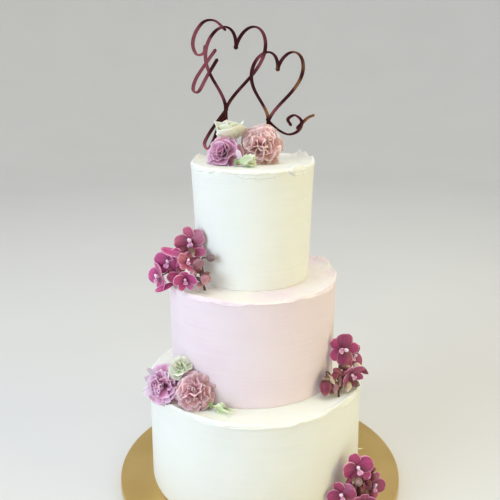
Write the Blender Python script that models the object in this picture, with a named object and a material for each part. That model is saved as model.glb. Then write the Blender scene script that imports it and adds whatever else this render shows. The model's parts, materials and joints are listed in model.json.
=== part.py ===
"""A three-tier wedding cake with fresh flowers and a mirror topper, on a gold drum board.

The cake's own frame is +Z up, with the origin on the table under the middle of the board,
and its front towards -Y. Every length is in metres, worked out from the sizes below.
"""

import itertools
import math
import random
from dataclasses import dataclass

import bmesh
import bpy
from mathutils import Matrix, Vector

MM = 0.001
TOUCH_GAP = 0.3 * MM

# The drum board
BOARD_RADIUS = 203.2 * MM
BOARD_THICKNESS = 12.0 * MM
BOARD_EDGE = 1.2 * MM
BOARD_SIDES = 72

# The three tiers: heights, and radii at the base and under the rim
TIER_SIDES = 72
BOTTOM_HEIGHT = 149.5 * MM
MIDDLE_HEIGHT = 144.3 * MM
TOP_HEIGHT = 154.2 * MM
BOTTOM_BASE_RADIUS = 150.2 * MM
BOTTOM_RIM_RADIUS = 148.5 * MM
MIDDLE_BASE_RADIUS = 112.4 * MM
MIDDLE_RIM_RADIUS = 113.6 * MM
TOP_BASE_RADIUS = 75.2 * MM
TOP_RIM_RADIUS = 79.75 * MM

# The tiers were stacked by hand, so each axis stands a little off the board's middle
BOTTOM_AXIS_X = -6.3 * MM
MIDDLE_AXIS_X = -9.5 * MM
TOP_AXIS_X = -8.9 * MM

BOTTOM_BASE_Z = BOARD_THICKNESS + TOUCH_GAP
BOTTOM_LEDGE_Z = BOTTOM_BASE_Z + BOTTOM_HEIGHT
MIDDLE_BASE_Z = BOTTOM_LEDGE_Z + TOUCH_GAP
MIDDLE_LEDGE_Z = MIDDLE_BASE_Z + MIDDLE_HEIGHT
TOP_BASE_Z = MIDDLE_LEDGE_Z + TOUCH_GAP
TOP_Z = TOP_BASE_Z + TOP_HEIGHT

# The torn buttercream lip round each rim
LIP_DEPTH = 8.0 * MM
LIP_INSET = 7.0 * MM
SIDE_WOBBLE = 0.35 * MM

# The mirror topper, a flat sheet that stands across the cake behind the flowers
TOPPER_Y = 26.0 * MM
TOPPER_SHEET = 3.0 * MM
PEN_THIN = 2.6 * MM
PEN_THICK = 4.8 * MM
PEN_STEP = 7.0 * MM
PEN_SLANT = 0.18
HEART_STEPS = 15
STAKE_WIDTH = 5.0 * MM
STAKE_DEPTH = 46.0 * MM
STAKE_POINT = 9.0 * MM
STOCK_SHEET = 8.0 * MM
STOCK_STEP = 0.8 * MM
DOT_SIDES = 10

# Flowers
PETAL_THICKNESS = 1.5 * MM
HUB_LENGTH = 6.0 * MM
BLOOM_SPOKES = 30
ROSE_SIDES = 20
BUD_SIDES = 8
HUB_RADIUS = 1.6 * MM
STEM_SIDES = 6
STALK_SIDES = 5
STEM_RADIUS = 1.5 * MM
STALK_RADIUS = 1.1 * MM
STEM_STEP = 12.0 * MM


@dataclass(frozen=True)
class RimMark:
    """A torn peak or a folded flap on a rim: where it is, how wide, and how far it stands."""

    angle: float
    width: float
    rise: float
    out: float


@dataclass(frozen=True)
class Tier:
    """One frosted cake tier: where it stands, its size and what its rim is like."""

    name: str
    axis_x: float
    base_z: float
    height: float
    base_radius: float
    rim_radius: float
    lip_rise: float
    lip_out: float
    marks: tuple
    seed: int


@dataclass(frozen=True)
class Bloom:
    """One open orchid: its middle, the way it faces, its roll, and how cupped it is."""

    name: str
    centre: tuple
    azimuth: float
    elevation: float
    roll: float
    radius: float
    cup: float


@dataclass(frozen=True)
class Carnation:
    """One ruffled flower head with its green calyx behind it."""

    name: str
    centre: tuple
    azimuth: float
    elevation: float
    radius: float
    ruffle: float
    colour: tuple
    seed: int
    sides: int = 22


@dataclass(frozen=True)
class Bud:
    """One closed bud: its middle, the way its tip points, and its size."""

    name: str
    centre: tuple
    azimuth: float
    elevation: float
    length: float
    radius: float
    colour: tuple


WHITE_CREAM = (0.90, 0.89, 0.83)
BLUSH_CREAM = (0.88, 0.76, 0.78)
GOLD_FOIL = (0.66, 0.48, 0.20)
ROSE_MIRROR = (0.42, 0.13, 0.12)
ORCHID_PINK = (0.46, 0.07, 0.21)
STEM_BROWN = (0.16, 0.07, 0.05)
BUD_GREY = (0.24, 0.14, 0.14)
BUD_PINK = (0.40, 0.17, 0.18)
BUD_GREEN = (0.50, 0.60, 0.28)
PETAL_WHITE = (0.86, 0.87, 0.66)
PETAL_MAUVE = (0.62, 0.33, 0.50)
PETAL_PINK = (0.68, 0.36, 0.38)
PETAL_DUSK = (0.60, 0.30, 0.36)
PETAL_LEAFY = (0.62, 0.72, 0.42)

TIERS = (
    Tier("bottom_tier", BOTTOM_AXIS_X, BOTTOM_BASE_Z, BOTTOM_HEIGHT, BOTTOM_BASE_RADIUS,
         BOTTOM_RIM_RADIUS, 1.0 * MM, 1.0 * MM,
         (RimMark(-113, 9, 1.6 * MM, 0.6 * MM), RimMark(-100, 8, 0.8 * MM, 1.4 * MM),
          RimMark(-85, 12, -0.8 * MM, 1.9 * MM), RimMark(-72, 7, 0.2 * MM, 1.6 * MM),
          RimMark(-42, 14, 2.0 * MM, 0.4 * MM), RimMark(62, 10, 1.5 * MM, 0.9 * MM),
          RimMark(140, 12, 1.2 * MM, 1.1 * MM)), 11),
    Tier("middle_tier", MIDDLE_AXIS_X, MIDDLE_BASE_Z, MIDDLE_HEIGHT, MIDDLE_BASE_RADIUS,
         MIDDLE_RIM_RADIUS, 1.1 * MM, 0.9 * MM,
         (RimMark(33, 6, 3.0 * MM, 0.5 * MM), RimMark(23, 5, 2.6 * MM, 0.8 * MM),
          RimMark(-131, 8, 0.9 * MM, 1.6 * MM), RimMark(-114, 6, 1.2 * MM, 1.2 * MM),
          RimMark(-92, 9, 0.3 * MM, 1.5 * MM), RimMark(95, 12, 1.8 * MM, 0.9 * MM),
          RimMark(160, 9, 1.4 * MM, 0.8 * MM)), 23),
    Tier("top_tier", TOP_AXIS_X, TOP_BASE_Z, TOP_HEIGHT, TOP_BASE_RADIUS,
         TOP_RIM_RADIUS, 1.0 * MM, 1.0 * MM,
         (RimMark(30, 9, 4.2 * MM, 1.2 * MM), RimMark(14, 8, 1.6 * MM, 1.4 * MM),
          RimMark(157, 12, 2.4 * MM, 0.9 * MM), RimMark(-150, 12, 0.6 * MM, 1.3 * MM),
          RimMark(-88, 14, -0.3 * MM, 1.5 * MM), RimMark(95, 15, 1.4 * MM, 0.7 * MM)), 37),
)

# Left of the top tier, on the middle tier's ledge and over its edge
LEFT_BLOOMS = (
    Bloom("left_orchid_1", (-88.5 * MM, -46 * MM, 368 * MM), -100, 12, 14, 22.5 * MM, 0.10),
    Bloom("left_orchid_2", (-116 * MM, -55 * MM, 341 * MM), -112, 8, -6, 20.0 * MM, 0.12),
    Bloom("left_orchid_3", (-93.5 * MM, -78 * MM, 325 * MM), -85, -8, 5, 15.0 * MM, 0.55),
    Bloom("left_orchid_4", (-130 * MM, -52 * MM, 321 * MM), -142, -4, 12, 20.5 * MM, 0.15),
    Bloom("left_orchid_5", (-91 * MM, -66 * MM, 345 * MM), -62, 28, -20, 14.5 * MM, 0.25),
)
LEFT_BUDS = (
    Bud("left_orchid_bud_1", (-61.5 * MM, -68.5 * MM, 350 * MM), -40, 12, 14 * MM, 5.4 * MM, BUD_GREY),
    Bud("left_orchid_bud_2", (-68.5 * MM, -82 * MM, 326 * MM), -70, -50, 16 * MM, 7.0 * MM, BUD_PINK),
)
LEFT_STEM = ((-70, -66, 306), (-74, -60, 318), (-78, -53, 334), (-81, -45, 350), (-82, -37, 362))

# Left front, on the bottom tier's ledge
LEDGE_CARNATIONS = (
    Carnation("ledge_mauve_carnation", (-131 * MM, -84 * MM, 182 * MM), -128, 22, 24.0 * MM, 0.09,
              PETAL_MAUVE, 5),
    Carnation("ledge_pink_carnation", (-86 * MM, -109 * MM, 184 * MM), -100, 20, 23.5 * MM, 0.08,
              PETAL_DUSK, 8),
    Carnation("ledge_green_flower", (-103.5 * MM, -84 * MM, 209 * MM), -108, 42, 15.0 * MM, 0.06,
              PETAL_LEAFY, 13, 14),
)
LEDGE_BUD = Bud("ledge_green_bud", (-51 * MM, -117 * MM, 167.2 * MM), -38, 0, 34 * MM, 5.6 * MM, BUD_GREEN)

# Right, on the bottom tier's ledge against the middle tier
RIGHT_BLOOMS = (
    Bloom("right_orchid_1", (111.5 * MM, -56 * MM, 219 * MM), -80, 12, -90, 22.5 * MM, 0.10),
    Bloom("right_orchid_2", (127 * MM, -36 * MM, 201 * MM), -50, 4, -60, 19.0 * MM, 0.12),
    Bloom("right_orchid_3", (121 * MM, -64 * MM, 187 * MM), -62, -12, 35, 18.0 * MM, 0.40),
)
RIGHT_BUDS = (
    Bud("right_orchid_bud_1", (85 * MM, -82 * MM, 177.5 * MM), -110, -68, 24 * MM, 8.6 * MM, ORCHID_PINK),
    Bud("right_orchid_bud_2", (97 * MM, -80 * MM, 177.0 * MM), -70, -60, 16 * MM, 5.6 * MM, BUD_PINK),
    Bud("right_orchid_bud_3", (128 * MM, -56 * MM, 169.0 * MM), -30, -10, 14 * MM, 5.2 * MM, BUD_GREY),
)
RIGHT_STEM = ((103, -79, 161), (104, -70, 176), (105, -60, 190), (107, -50, 203), (109, -44, 212))

# Right front, on the board against the bottom tier
BASE_BLOOMS = (
    Bloom("base_orchid_1", (127 * MM, -110 * MM, 76 * MM), -84, 14, 16, 21.5 * MM, 0.12),
    Bloom("base_orchid_2", (150 * MM, -102 * MM, 44 * MM), -58, 6, -28, 20.0 * MM, 0.15),
    Bloom("base_orchid_3", (105.5 * MM, -125 * MM, 46 * MM), -108, 8, 30, 20.0 * MM, 0.15),
    Bloom("base_orchid_4", (134 * MM, -126 * MM, 34 * MM), -82, -6, 0, 17.0 * MM, 0.20),
)
BASE_BUDS = (
    Bud("base_orchid_bud_1", (126 * MM, -119 * MM, 61 * MM), -95, 20, 15 * MM, 6.2 * MM, BUD_GREY),
    Bud("base_orchid_bud_2", (119 * MM, -125 * MM, 24 * MM), -100, -30, 17 * MM, 5.8 * MM, BUD_PINK),
)
BASE_STEM = ((124, -106, 11), (125, -104, 26), (127, -101, 42), (128, -98, 56), (128, -96, 69))

# On top, in front of the topper
TOP_CARNATIONS = (
    Carnation("top_mauve_carnation", (-47.5 * MM, -30 * MM, 477.5 * MM), -112, 30, 20.5 * MM, 0.07,
              PETAL_MAUVE, 21),
    Carnation("top_pink_carnation", (-0.5 * MM, -22 * MM, 483 * MM), -106, 12, 25.0 * MM, 0.09,
              PETAL_PINK, 34),
)
TOP_BUD = Bud("top_green_bud", (-17 * MM, -46 * MM, 467.0 * MM), -12, 2, 31 * MM, 6.6 * MM, BUD_GREEN)
ROSE_CENTRE = (-39.5 * MM, 0.0 * MM, 496.0 * MM)
ROSE_RADIUS = 20.5 * MM


def make_material(name, colour, roughness, metallic=0.0):
    """Makes a Principled material from a plain colour."""
    material = bpy.data.materials.new(name)
    material.use_nodes = True
    shader = material.node_tree.nodes["Principled BSDF"]
    shader.inputs["Base Color"].default_value = (*colour, 1.0)
    shader.inputs["Roughness"].default_value = roughness
    shader.inputs["Metallic"].default_value = metallic
    return material


def ring_body(name, rings, material, place=Matrix()):
    """Skins rings of points into one closed body; a ring of one point is a pole."""
    body = bmesh.new()
    loops = [[body.verts.new(point) for point in ring] for ring in rings]
    for lower, upper in zip(loops, loops[1:]):
        count = max(len(lower), len(upper))
        for i in range(count):
            j = (i + 1) % count
            if len(lower) == 1:
                body.faces.new((lower[0], upper[j], upper[i]))
            elif len(upper) == 1:
                body.faces.new((lower[i], lower[j], upper[0]))
            else:
                body.faces.new((lower[i], lower[j], upper[j], upper[i]))
    if len(loops[0]) > 1:
        body.faces.new(list(reversed(loops[0])))
    if len(loops[-1]) > 1:
        body.faces.new(loops[-1])
    bmesh.ops.triangulate(body, faces=body.faces[:])
    mesh = bpy.data.meshes.new(name)
    body.to_mesh(mesh)
    body.free()
    mesh.shade_smooth()
    mesh.set_sharp_from_angle(angle=math.radians(40))
    mesh.materials.append(material)
    piece = bpy.data.objects.new(name, mesh)
    bpy.context.collection.objects.link(piece)
    piece.matrix_world = place
    return piece


def circle(radius, height, sides):
    """Gives a level ring of points, counterclockwise seen from above."""
    turns = [math.tau * i / sides for i in range(sides)]
    return [Vector((radius * math.cos(turn), radius * math.sin(turn), height)) for turn in turns]


def uneven_line(seed, waves):
    """Gives a repeatable uneven function of the angle round a circle, within -1 and 1."""
    draw = random.Random(seed)
    terms = [(wave, draw.uniform(0, math.tau), draw.uniform(0.5, 1.0)) for wave in waves]
    total = sum(size for _, _, size in terms)

    def value(turn):
        return sum(size * math.sin(wave * turn + phase) for wave, phase, size in terms) / total

    return value


def apply_boolean(piece, cutter, operation, solver="EXACT"):
    """Joins or cuts a piece with another object and bakes the result."""
    modifier = piece.modifiers.new("join", "BOOLEAN")
    modifier.operation = operation
    modifier.solver = solver
    modifier.object = cutter
    evaluated = piece.evaluated_get(bpy.context.evaluated_depsgraph_get())
    result = bpy.data.meshes.new_from_object(evaluated)
    piece.modifiers.remove(modifier)
    old = piece.data
    piece.data = result
    bpy.data.meshes.remove(old)
    result.name = piece.name


def remove_piece(piece):
    """Removes an object and its mesh."""
    mesh = piece.data
    bpy.data.objects.remove(piece)
    bpy.data.meshes.remove(mesh)


def fuse(name, pieces):
    """Fuses overlapping bodies into one, named for its node."""
    whole = pieces[0]
    for piece in pieces[1:]:
        apply_boolean(whole, piece, "UNION", "MANIFOLD")
        remove_piece(piece)
    whole.name = name
    whole.data.name = name
    return whole


def as_guide(piece):
    """Marks an object as a cutter, which is no part of the cake."""
    piece.hide_render = True
    piece.display_type = "WIRE"
    return piece


def clearance(piece):
    """Copies an untrimmed piece with its skin moved out by the touching gap."""
    cutter = bpy.data.objects.new(piece.name + "_clearance", piece.data.copy())
    bpy.context.collection.objects.link(cutter)
    cutter.matrix_world = piece.matrix_world
    normals = [vertex.normal.copy() for vertex in cutter.data.vertices]
    for vertex, normal in zip(cutter.data.vertices, normals):
        vertex.co += normal * TOUCH_GAP
    return as_guide(cutter)


def world_box(piece):
    """Gives a piece's lowest and highest corners."""
    corners = [piece.matrix_world @ vertex.co for vertex in piece.data.vertices]
    low = Vector([min(corner[axis] for corner in corners) for axis in range(3)])
    high = Vector([max(corner[axis] for corner in corners) for axis in range(3)])
    return low, high


def boxes_meet(first, second):
    """Says whether the boxes of two objects overlap."""
    low_a, high_a = world_box(first)
    low_b, high_b = world_box(second)
    return all(low_a[i] < high_b[i] and low_b[i] < high_a[i] for i in range(3))


def island_volume(island):
    """Gives the volume inside the closed island of vertices, in cubic metres."""
    faces = {face for vertex in island for face in vertex.link_faces}
    total = 0.0
    for face in faces:
        first, second, third = [vertex.co for vertex in face.verts]
        total += first.dot(second.cross(third)) / 6.0
    return total


def keep_largest(piece):
    """Drops loose scraps, so that the piece is its one largest body."""
    body = bmesh.new()
    body.from_mesh(piece.data)
    bmesh.ops.triangulate(body, faces=body.faces[:])
    waiting = set(body.verts)
    islands = []
    while waiting:
        front = [waiting.pop()]
        island = list(front)
        while front:
            vertex = front.pop()
            for edge in vertex.link_edges:
                other = edge.other_vert(vertex)
                if other in waiting:
                    waiting.remove(other)
                    front.append(other)
                    island.append(other)
        islands.append(island)
    islands.sort(key=island_volume, reverse=True)
    scraps = [vertex for island in islands[1:] for vertex in island]
    bmesh.ops.delete(body, geom=scraps, context="VERTS")
    body.to_mesh(piece.data)
    body.free()


def trim_clear(piece, clearances):
    """Cuts the clearances of a piece's neighbours out of it and keeps its largest body."""
    for cutter in clearances:
        if boxes_meet(piece, cutter):
            apply_boolean(piece, cutter, "DIFFERENCE", "MANIFOLD")
    keep_largest(piece)


def trim_in_order(pieces, clearances):
    """Trims each piece to what carries it and to the pieces before it."""
    taken = list(clearances)
    own = [clearance(piece) for piece in pieces]
    for piece, cutter in zip(pieces, own):
        trim_clear(piece, taken)
        taken.append(cutter)


def facing(centre, azimuth, elevation, roll=0.0):
    """Places a flower: its local +Z faces out, its local +Y points up before the roll."""
    across = math.radians(azimuth)
    up_angle = math.radians(elevation)
    forward = Vector((math.cos(across) * math.cos(up_angle), math.sin(across) * math.cos(up_angle),
                      math.sin(up_angle)))
    upward = (Vector((0, 0, 1)) - forward * forward.z).normalized()
    right = upward.cross(forward)
    turned = Matrix((right, upward, forward)).transposed().to_4x4()
    return Matrix.Translation(centre) @ turned @ Matrix.Rotation(math.radians(roll), 4, "Z")


def build_board():
    """Builds the round drum board with its softened foil edges."""
    inner = BOARD_RADIUS - BOARD_EDGE
    rings = [circle(inner, 0.0, BOARD_SIDES),
             circle(BOARD_RADIUS, BOARD_EDGE, BOARD_SIDES),
             circle(BOARD_RADIUS, BOARD_THICKNESS - BOARD_EDGE, BOARD_SIDES),
             circle(inner, BOARD_THICKNESS, BOARD_SIDES)]
    return ring_body("cake_board", rings, make_material("gold_foil", GOLD_FOIL, 0.35, 0.8))


def mark_height(marks, turn, kind):
    """Adds up the torn peaks and flaps of a rim at one angle; kind is rise or out."""
    total = 0.0
    for mark in marks:
        away = math.degrees(turn) - mark.angle
        away = (away + 180.0) % 360.0 - 180.0
        total += getattr(mark, kind) * math.exp(-(away / mark.width) ** 2)
    return total


def build_tier(tier, material):
    """Builds one tier: straight scraped sides, a torn lip round the rim and a flat ledge."""
    lip = uneven_line(tier.seed, (5, 9, 14, 23))
    side = uneven_line(tier.seed + 1, (2, 3, 5, 8))
    top = tier.height
    turns = [math.tau * i / TIER_SIDES for i in range(TIER_SIDES)]

    def ring(radius_at, height_at):
        return [Vector((radius_at(turn) * math.cos(turn), radius_at(turn) * math.sin(turn), height_at(turn)))
                for turn in turns]

    def out(turn):
        return tier.lip_out * (1.0 + 0.7 * lip(turn)) + mark_height(tier.marks, turn, "out")

    def rise(turn):
        return tier.lip_rise * (1.0 + 0.9 * lip(turn + 1.0)) + mark_height(tier.marks, turn, "rise")

    middle_radius = 0.5 * (tier.base_radius + tier.rim_radius)
    rings = [
        ring(lambda turn: tier.base_radius - 2.0 * MM, lambda turn: 0.0),
        ring(lambda turn: tier.base_radius + SIDE_WOBBLE * side(turn), lambda turn: 2.0 * MM),
        ring(lambda turn: middle_radius + SIDE_WOBBLE * side(turn + 0.7), lambda turn: 0.5 * top),
        ring(lambda turn: tier.rim_radius + 0.2 * out(turn), lambda turn: top - LIP_DEPTH - rise(turn)),
        ring(lambda turn: tier.rim_radius + out(turn), lambda turn: top - 1.6 * MM + 0.5 * rise(turn)),
        ring(lambda turn: tier.rim_radius - 1.6 * MM + 0.6 * out(turn), lambda turn: top + rise(turn)),
        ring(lambda turn: tier.rim_radius - LIP_INSET, lambda turn: top),
    ]
    place = Matrix.Translation((tier.axis_x, 0.0, tier.base_z))
    return ring_body(tier.name, rings, material, place)


def ellipse_reach(turn, distance, long_half, wide_half):
    """Gives how far an ellipse set out along +X reaches from the origin at an angle."""
    along = math.cos(turn)
    across = math.sin(turn)
    if along <= 0.0:
        return 0.0
    square = (along / long_half) ** 2 + (across / wide_half) ** 2
    half_linear = along * distance / long_half ** 2
    rest = half_linear ** 2 - square * ((distance / long_half) ** 2 - 1.0)
    return (half_linear + math.sqrt(rest)) / square if rest > 0.0 else 0.0


def bloom_outline(turn):
    """Gives an orchid's reach at an angle, for a bloom of radius one: petals, then sepals."""
    lobes = ((6, 0.54, 0.46, 0.50), (174, 0.54, 0.46, 0.50), (90, 0.52, 0.46, 0.30),
             (-57, 0.50, 0.44, 0.28), (-123, 0.50, 0.44, 0.28))
    reaches = [ellipse_reach(turn - math.radians(angle), *lobe) for angle, *lobe in lobes]
    return max(reaches + [0.30])


def build_bloom(bloom, material):
    """Builds one orchid: thin dished petals, the lip and column in front, the hub behind."""
    turns = [math.tau * (i + 0.5) / BLOOM_SPOKES for i in range(BLOOM_SPOKES)]
    size = bloom.radius

    def ring(fraction, height_at):
        points = []
        for turn in turns:
            reach = size * bloom_outline(turn) * fraction
            point = Vector((reach * math.cos(turn), reach * math.sin(turn), 0.0))
            petal = 0.04 * size * math.cos(2 * turn)
            dish = bloom.cup * size * (reach / size) ** 2
            points.append(point + Vector((0.0, 0.0, height_at(turn) + petal * fraction + dish)))
        return points

    def lip(turn):
        return 0.20 * size + 0.16 * size * max(0.0, -math.sin(turn)) ** 3

    half = 0.5 * PETAL_THICKNESS
    rings = [
        circle(HUB_RADIUS, -HUB_LENGTH, BLOOM_SPOKES),
        ring(0.17, lambda turn: -0.4 * HUB_LENGTH),
        ring(0.62, lambda turn: -half),
        ring(1.0, lambda turn: 0.0),
        ring(0.64, lambda turn: half),
        ring(0.22, lip),
        [Vector((0.0, 0.0, 0.27 * size))],
    ]
    place = facing(bloom.centre, bloom.azimuth, bloom.elevation, bloom.roll)
    return ring_body(bloom.name, rings, material, place)


def build_carnation(flower):
    """Builds one flower head: calyx, a skirt of petals and a dome of ruffles."""
    size = flower.radius
    profile = ((0.16, -0.80, 0.0), (0.24, -0.50, 0.0), (0.70, -0.34, 0.4), (1.00, -0.06, 1.0),
               (0.93, 0.16, 0.7), (0.94, 0.34, 1.0), (0.72, 0.46, 0.7), (0.66, 0.62, 1.0),
               (0.40, 0.62, 0.7), (0.30, 0.76, 0.8))
    rings = [[Vector((0.0, 0.0, -0.84 * size))]]
    for number, (radius, height, share) in enumerate(profile):
        line = uneven_line(flower.seed + number, (5, 8, 11))
        crinkle = flower.ruffle * share
        points = []
        for point in circle(1.0, 0.0, flower.sides):
            turn = math.atan2(point.y, point.x)
            swell = 1.0 + crinkle * line(turn) * 1.6
            lift = crinkle * line(turn + 2.0) * 1.2
            points.append(Vector((point.x * radius * swell, point.y * radius * swell, height + lift)) * size)
        rings.append(points)
    rings.append([Vector((0.0, 0.0, 0.68 * size))])
    material = make_material(flower.name + "_petals", flower.colour, 0.7)
    return ring_body(flower.name, rings, material, facing(flower.centre, flower.azimuth, flower.elevation))


def build_rose():
    """Builds the white flower at the back of the top group, on a stem that stands on the cake."""
    size = ROSE_RADIUS
    stem_foot = (TOP_Z + TOUCH_GAP - ROSE_CENTRE[2]) / size
    profile = ((0.10, stem_foot, 0.0), (0.10, -1.00, 0.0), (0.30, -0.86, 0.0), (0.66, -0.48, 0.02),
               (0.88, -0.05, 0.04), (0.98, 0.38, 0.07), (1.00, 0.78, 0.14), (0.84, 0.62, 0.10),
               (0.60, 0.46, 0.05), (0.52, 0.80, 0.08), (0.30, 0.60, 0.04), (0.20, 0.82, 0.03))
    rings = []
    for radius, height, wave in profile:
        points = []
        for point in circle(1.0, 0.0, ROSE_SIDES):
            turn = math.atan2(point.y, point.x)
            lobe = math.sin(5 * turn + 0.6) + 0.4 * math.sin(2 * turn + 1.9)
            spread = radius * (1.0 + 0.7 * wave * lobe)
            points.append(Vector((point.x * spread, point.y * spread, height + wave * lobe)) * size)
        rings.append(points)
    rings.append([Vector((0.0, 0.0, 0.78 * size))])
    material = make_material("white_petals", PETAL_WHITE, 0.6)
    return ring_body("top_white_rose", rings, material, Matrix.Translation(ROSE_CENTRE))


def build_bud(bud):
    """Builds one closed bud, blunt where its stalk joins and pointed at its tip."""
    half = 0.5 * bud.length
    profile = ((0.26, -1.0), (0.78, -0.62), (1.00, -0.05), (0.66, 0.58))
    rings = [circle(bud.radius * radius, half * height, BUD_SIDES) for radius, height in profile]
    rings.append([Vector((0.0, 0.0, half))])
    material = make_material(bud.name + "_skin", bud.colour, 0.55)
    return ring_body(bud.name, rings, material, facing(bud.centre, bud.azimuth, bud.elevation))


def smooth_path(points, step):
    """Runs a smooth curve through points and reads it off about every step."""
    ends = [points[0] * 2 - points[1], *points, points[-1] * 2 - points[-2]]
    path = []
    for before, start, end, after in zip(ends, ends[1:], ends[2:], ends[3:]):
        count = max(1, round((end - start).length / step))
        for i in range(count):
            t = i / count
            path.append(0.5 * (2 * start + (end - before) * t
                               + (2 * before - 5 * start + 4 * end - after) * t * t
                               + (3 * start - before - 3 * end + after) * t * t * t))
    path.append(points[-1].copy())
    return path


def tube(name, points, radius, sides, material):
    """Builds a round stalk along a path, thinner towards its far end."""
    rings = []
    normal = Vector((0.0, 1.0, 0.0))
    for i, point in enumerate(points):
        tangent = (points[min(i + 1, len(points) - 1)] - points[max(i - 1, 0)]).normalized()
        normal = (normal - tangent * normal.dot(tangent)).normalized()
        side = tangent.cross(normal)
        thick = radius * (1.0 - 0.3 * i / len(points))
        turns = [math.tau * k / sides for k in range(sides)]
        rings.append([point + thick * (normal * math.cos(turn) + side * math.sin(turn)) for turn in turns])
    return ring_body(name, rings, material)


def build_stem(name, route, tips, material, growth=0.0):
    """Builds a spray's stem along its route, with one stalk to the back of each flower or bud."""
    path = smooth_path([Vector(point) * MM for point in route], STEM_STEP)
    strokes = [tube(name, path, STEM_RADIUS + growth, STEM_SIDES, material)]
    for tip, back in tips:
        root = min(path[1:], key=lambda point: (point - tip).length + 0.4 * (point.z - path[0].z))
        elbow = tip + back * 0.35 * (root - tip).length
        stalk = smooth_path([root, elbow, tip], STEM_STEP)
        strokes.append(tube("stalk", stalk, STALK_RADIUS + growth, STALK_SIDES, material))
    return fuse(name, strokes)


def stalk_tip(place, depth):
    """Gives where a stalk ends, face to face with a flower's back, and the way the back points."""
    back = -(place.to_3x3() @ Vector((0.0, 0.0, 1.0)))
    return place.translation + back * (depth + TOUCH_GAP), back


def build_spray(name, blooms, buds, route, carriers, materials):
    """Builds one spray of orchids: the stem first, then each flower and bud, trimmed to fit."""
    petals, stems = materials
    tips = []
    for bloom in blooms:
        place = facing(bloom.centre, bloom.azimuth, bloom.elevation, bloom.roll)
        tips.append(stalk_tip(place, HUB_LENGTH))
    for bud in buds:
        place = facing(bud.centre, bud.azimuth, bud.elevation)
        tips.append(stalk_tip(place, 0.5 * bud.length))
    stem = build_stem(name + "_stem", route, tips, stems)
    trim_clear(stem, carriers)
    stem_clearance = as_guide(build_stem(name + "_stem_clearance", route, tips, stems, TOUCH_GAP))
    heads = [build_bud(bud) for bud in buds] + [build_bloom(bloom, petals) for bloom in blooms]
    trim_in_order(heads, [*carriers, stem_clearance])
    return [stem, *heads]


def topper_point(across, up):
    """Gives a point of the topper's sheet from millimetres across the cake and above its top."""
    return Vector((across * MM, TOPPER_Y, TOP_Z + up * MM))


def flat_outline(name, outline, thickness, material):
    """Builds a flat piece across the cake from its outline, counterclockwise seen from the front."""
    half = Vector((0.0, 0.5 * thickness, 0.0))
    rings = [[point + half for point in outline], [point - half for point in outline]]
    return ring_body(name, rings, material)


def ribbon(path, thickness, material):
    """Builds one pen stroke: a strip that is broad down the slant and thin across it."""
    slant = Vector((PEN_SLANT, 0.0, 1.0)).normalized()
    half = Vector((0.0, 0.5 * thickness, 0.0))
    rings = []
    for i, point in enumerate(path):
        tangent = (path[min(i + 1, len(path) - 1)] - path[max(i - 1, 0)]).normalized()
        width = PEN_THIN + (PEN_THICK - PEN_THIN) * abs(tangent.dot(slant)) ** 1.5
        across = Vector((tangent.z, 0.0, -tangent.x)) * 0.5 * width
        rings.append([point - across - half, point + across - half,
                      point + across + half, point - across + half])
    return ring_body("stroke", rings, material)


def pen_dot(point, radius, thickness, material):
    """Builds the round spot where a pen stroke starts or ends."""
    turns = [math.tau * i / DOT_SIDES for i in range(DOT_SIDES)]
    outline = [point + Vector((math.cos(turn), 0.0, math.sin(turn))) * radius for turn in turns]
    return flat_outline("dot", outline, thickness, material)


def heart_half(side, tip_x, tip_up, width, height):
    """Gives one half of a slanted heart, from the notch between its lobes down to its tip."""
    points = []
    for i in range(HEART_STEPS + 1):
        turn = math.pi * i / HEART_STEPS
        across = side * 0.5 * width * math.sin(turn) ** 3
        curve = 13 * math.cos(turn) - 5 * math.cos(2 * turn) - 2 * math.cos(3 * turn) - math.cos(4 * turn)
        up = height * (curve + 17.0) / 29.0
        point = topper_point(tip_x + across + PEN_SLANT * up, tip_up + up)
        if not points or (point - points[-1]).length > 0.4 * PEN_STEP:
            points.append(point)
    return points


def stake(tip_x, tip_up, thickness, material):
    """Builds one pointed stake, from just inside a heart's tip down into the cake."""
    half = 0.5 * STAKE_WIDTH / MM
    shoulder = (STAKE_POINT - STAKE_DEPTH) / MM
    point = -STAKE_DEPTH / MM
    outline = [topper_point(tip_x + across, up) for across, up in (
        (half, tip_up + 6.0), (-half, tip_up + 6.0), (-half, shoulder), (-0.3 * half, point),
        (0.3 * half, point), (half, shoulder))]
    return flat_outline("stake", outline, thickness, material)


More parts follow.
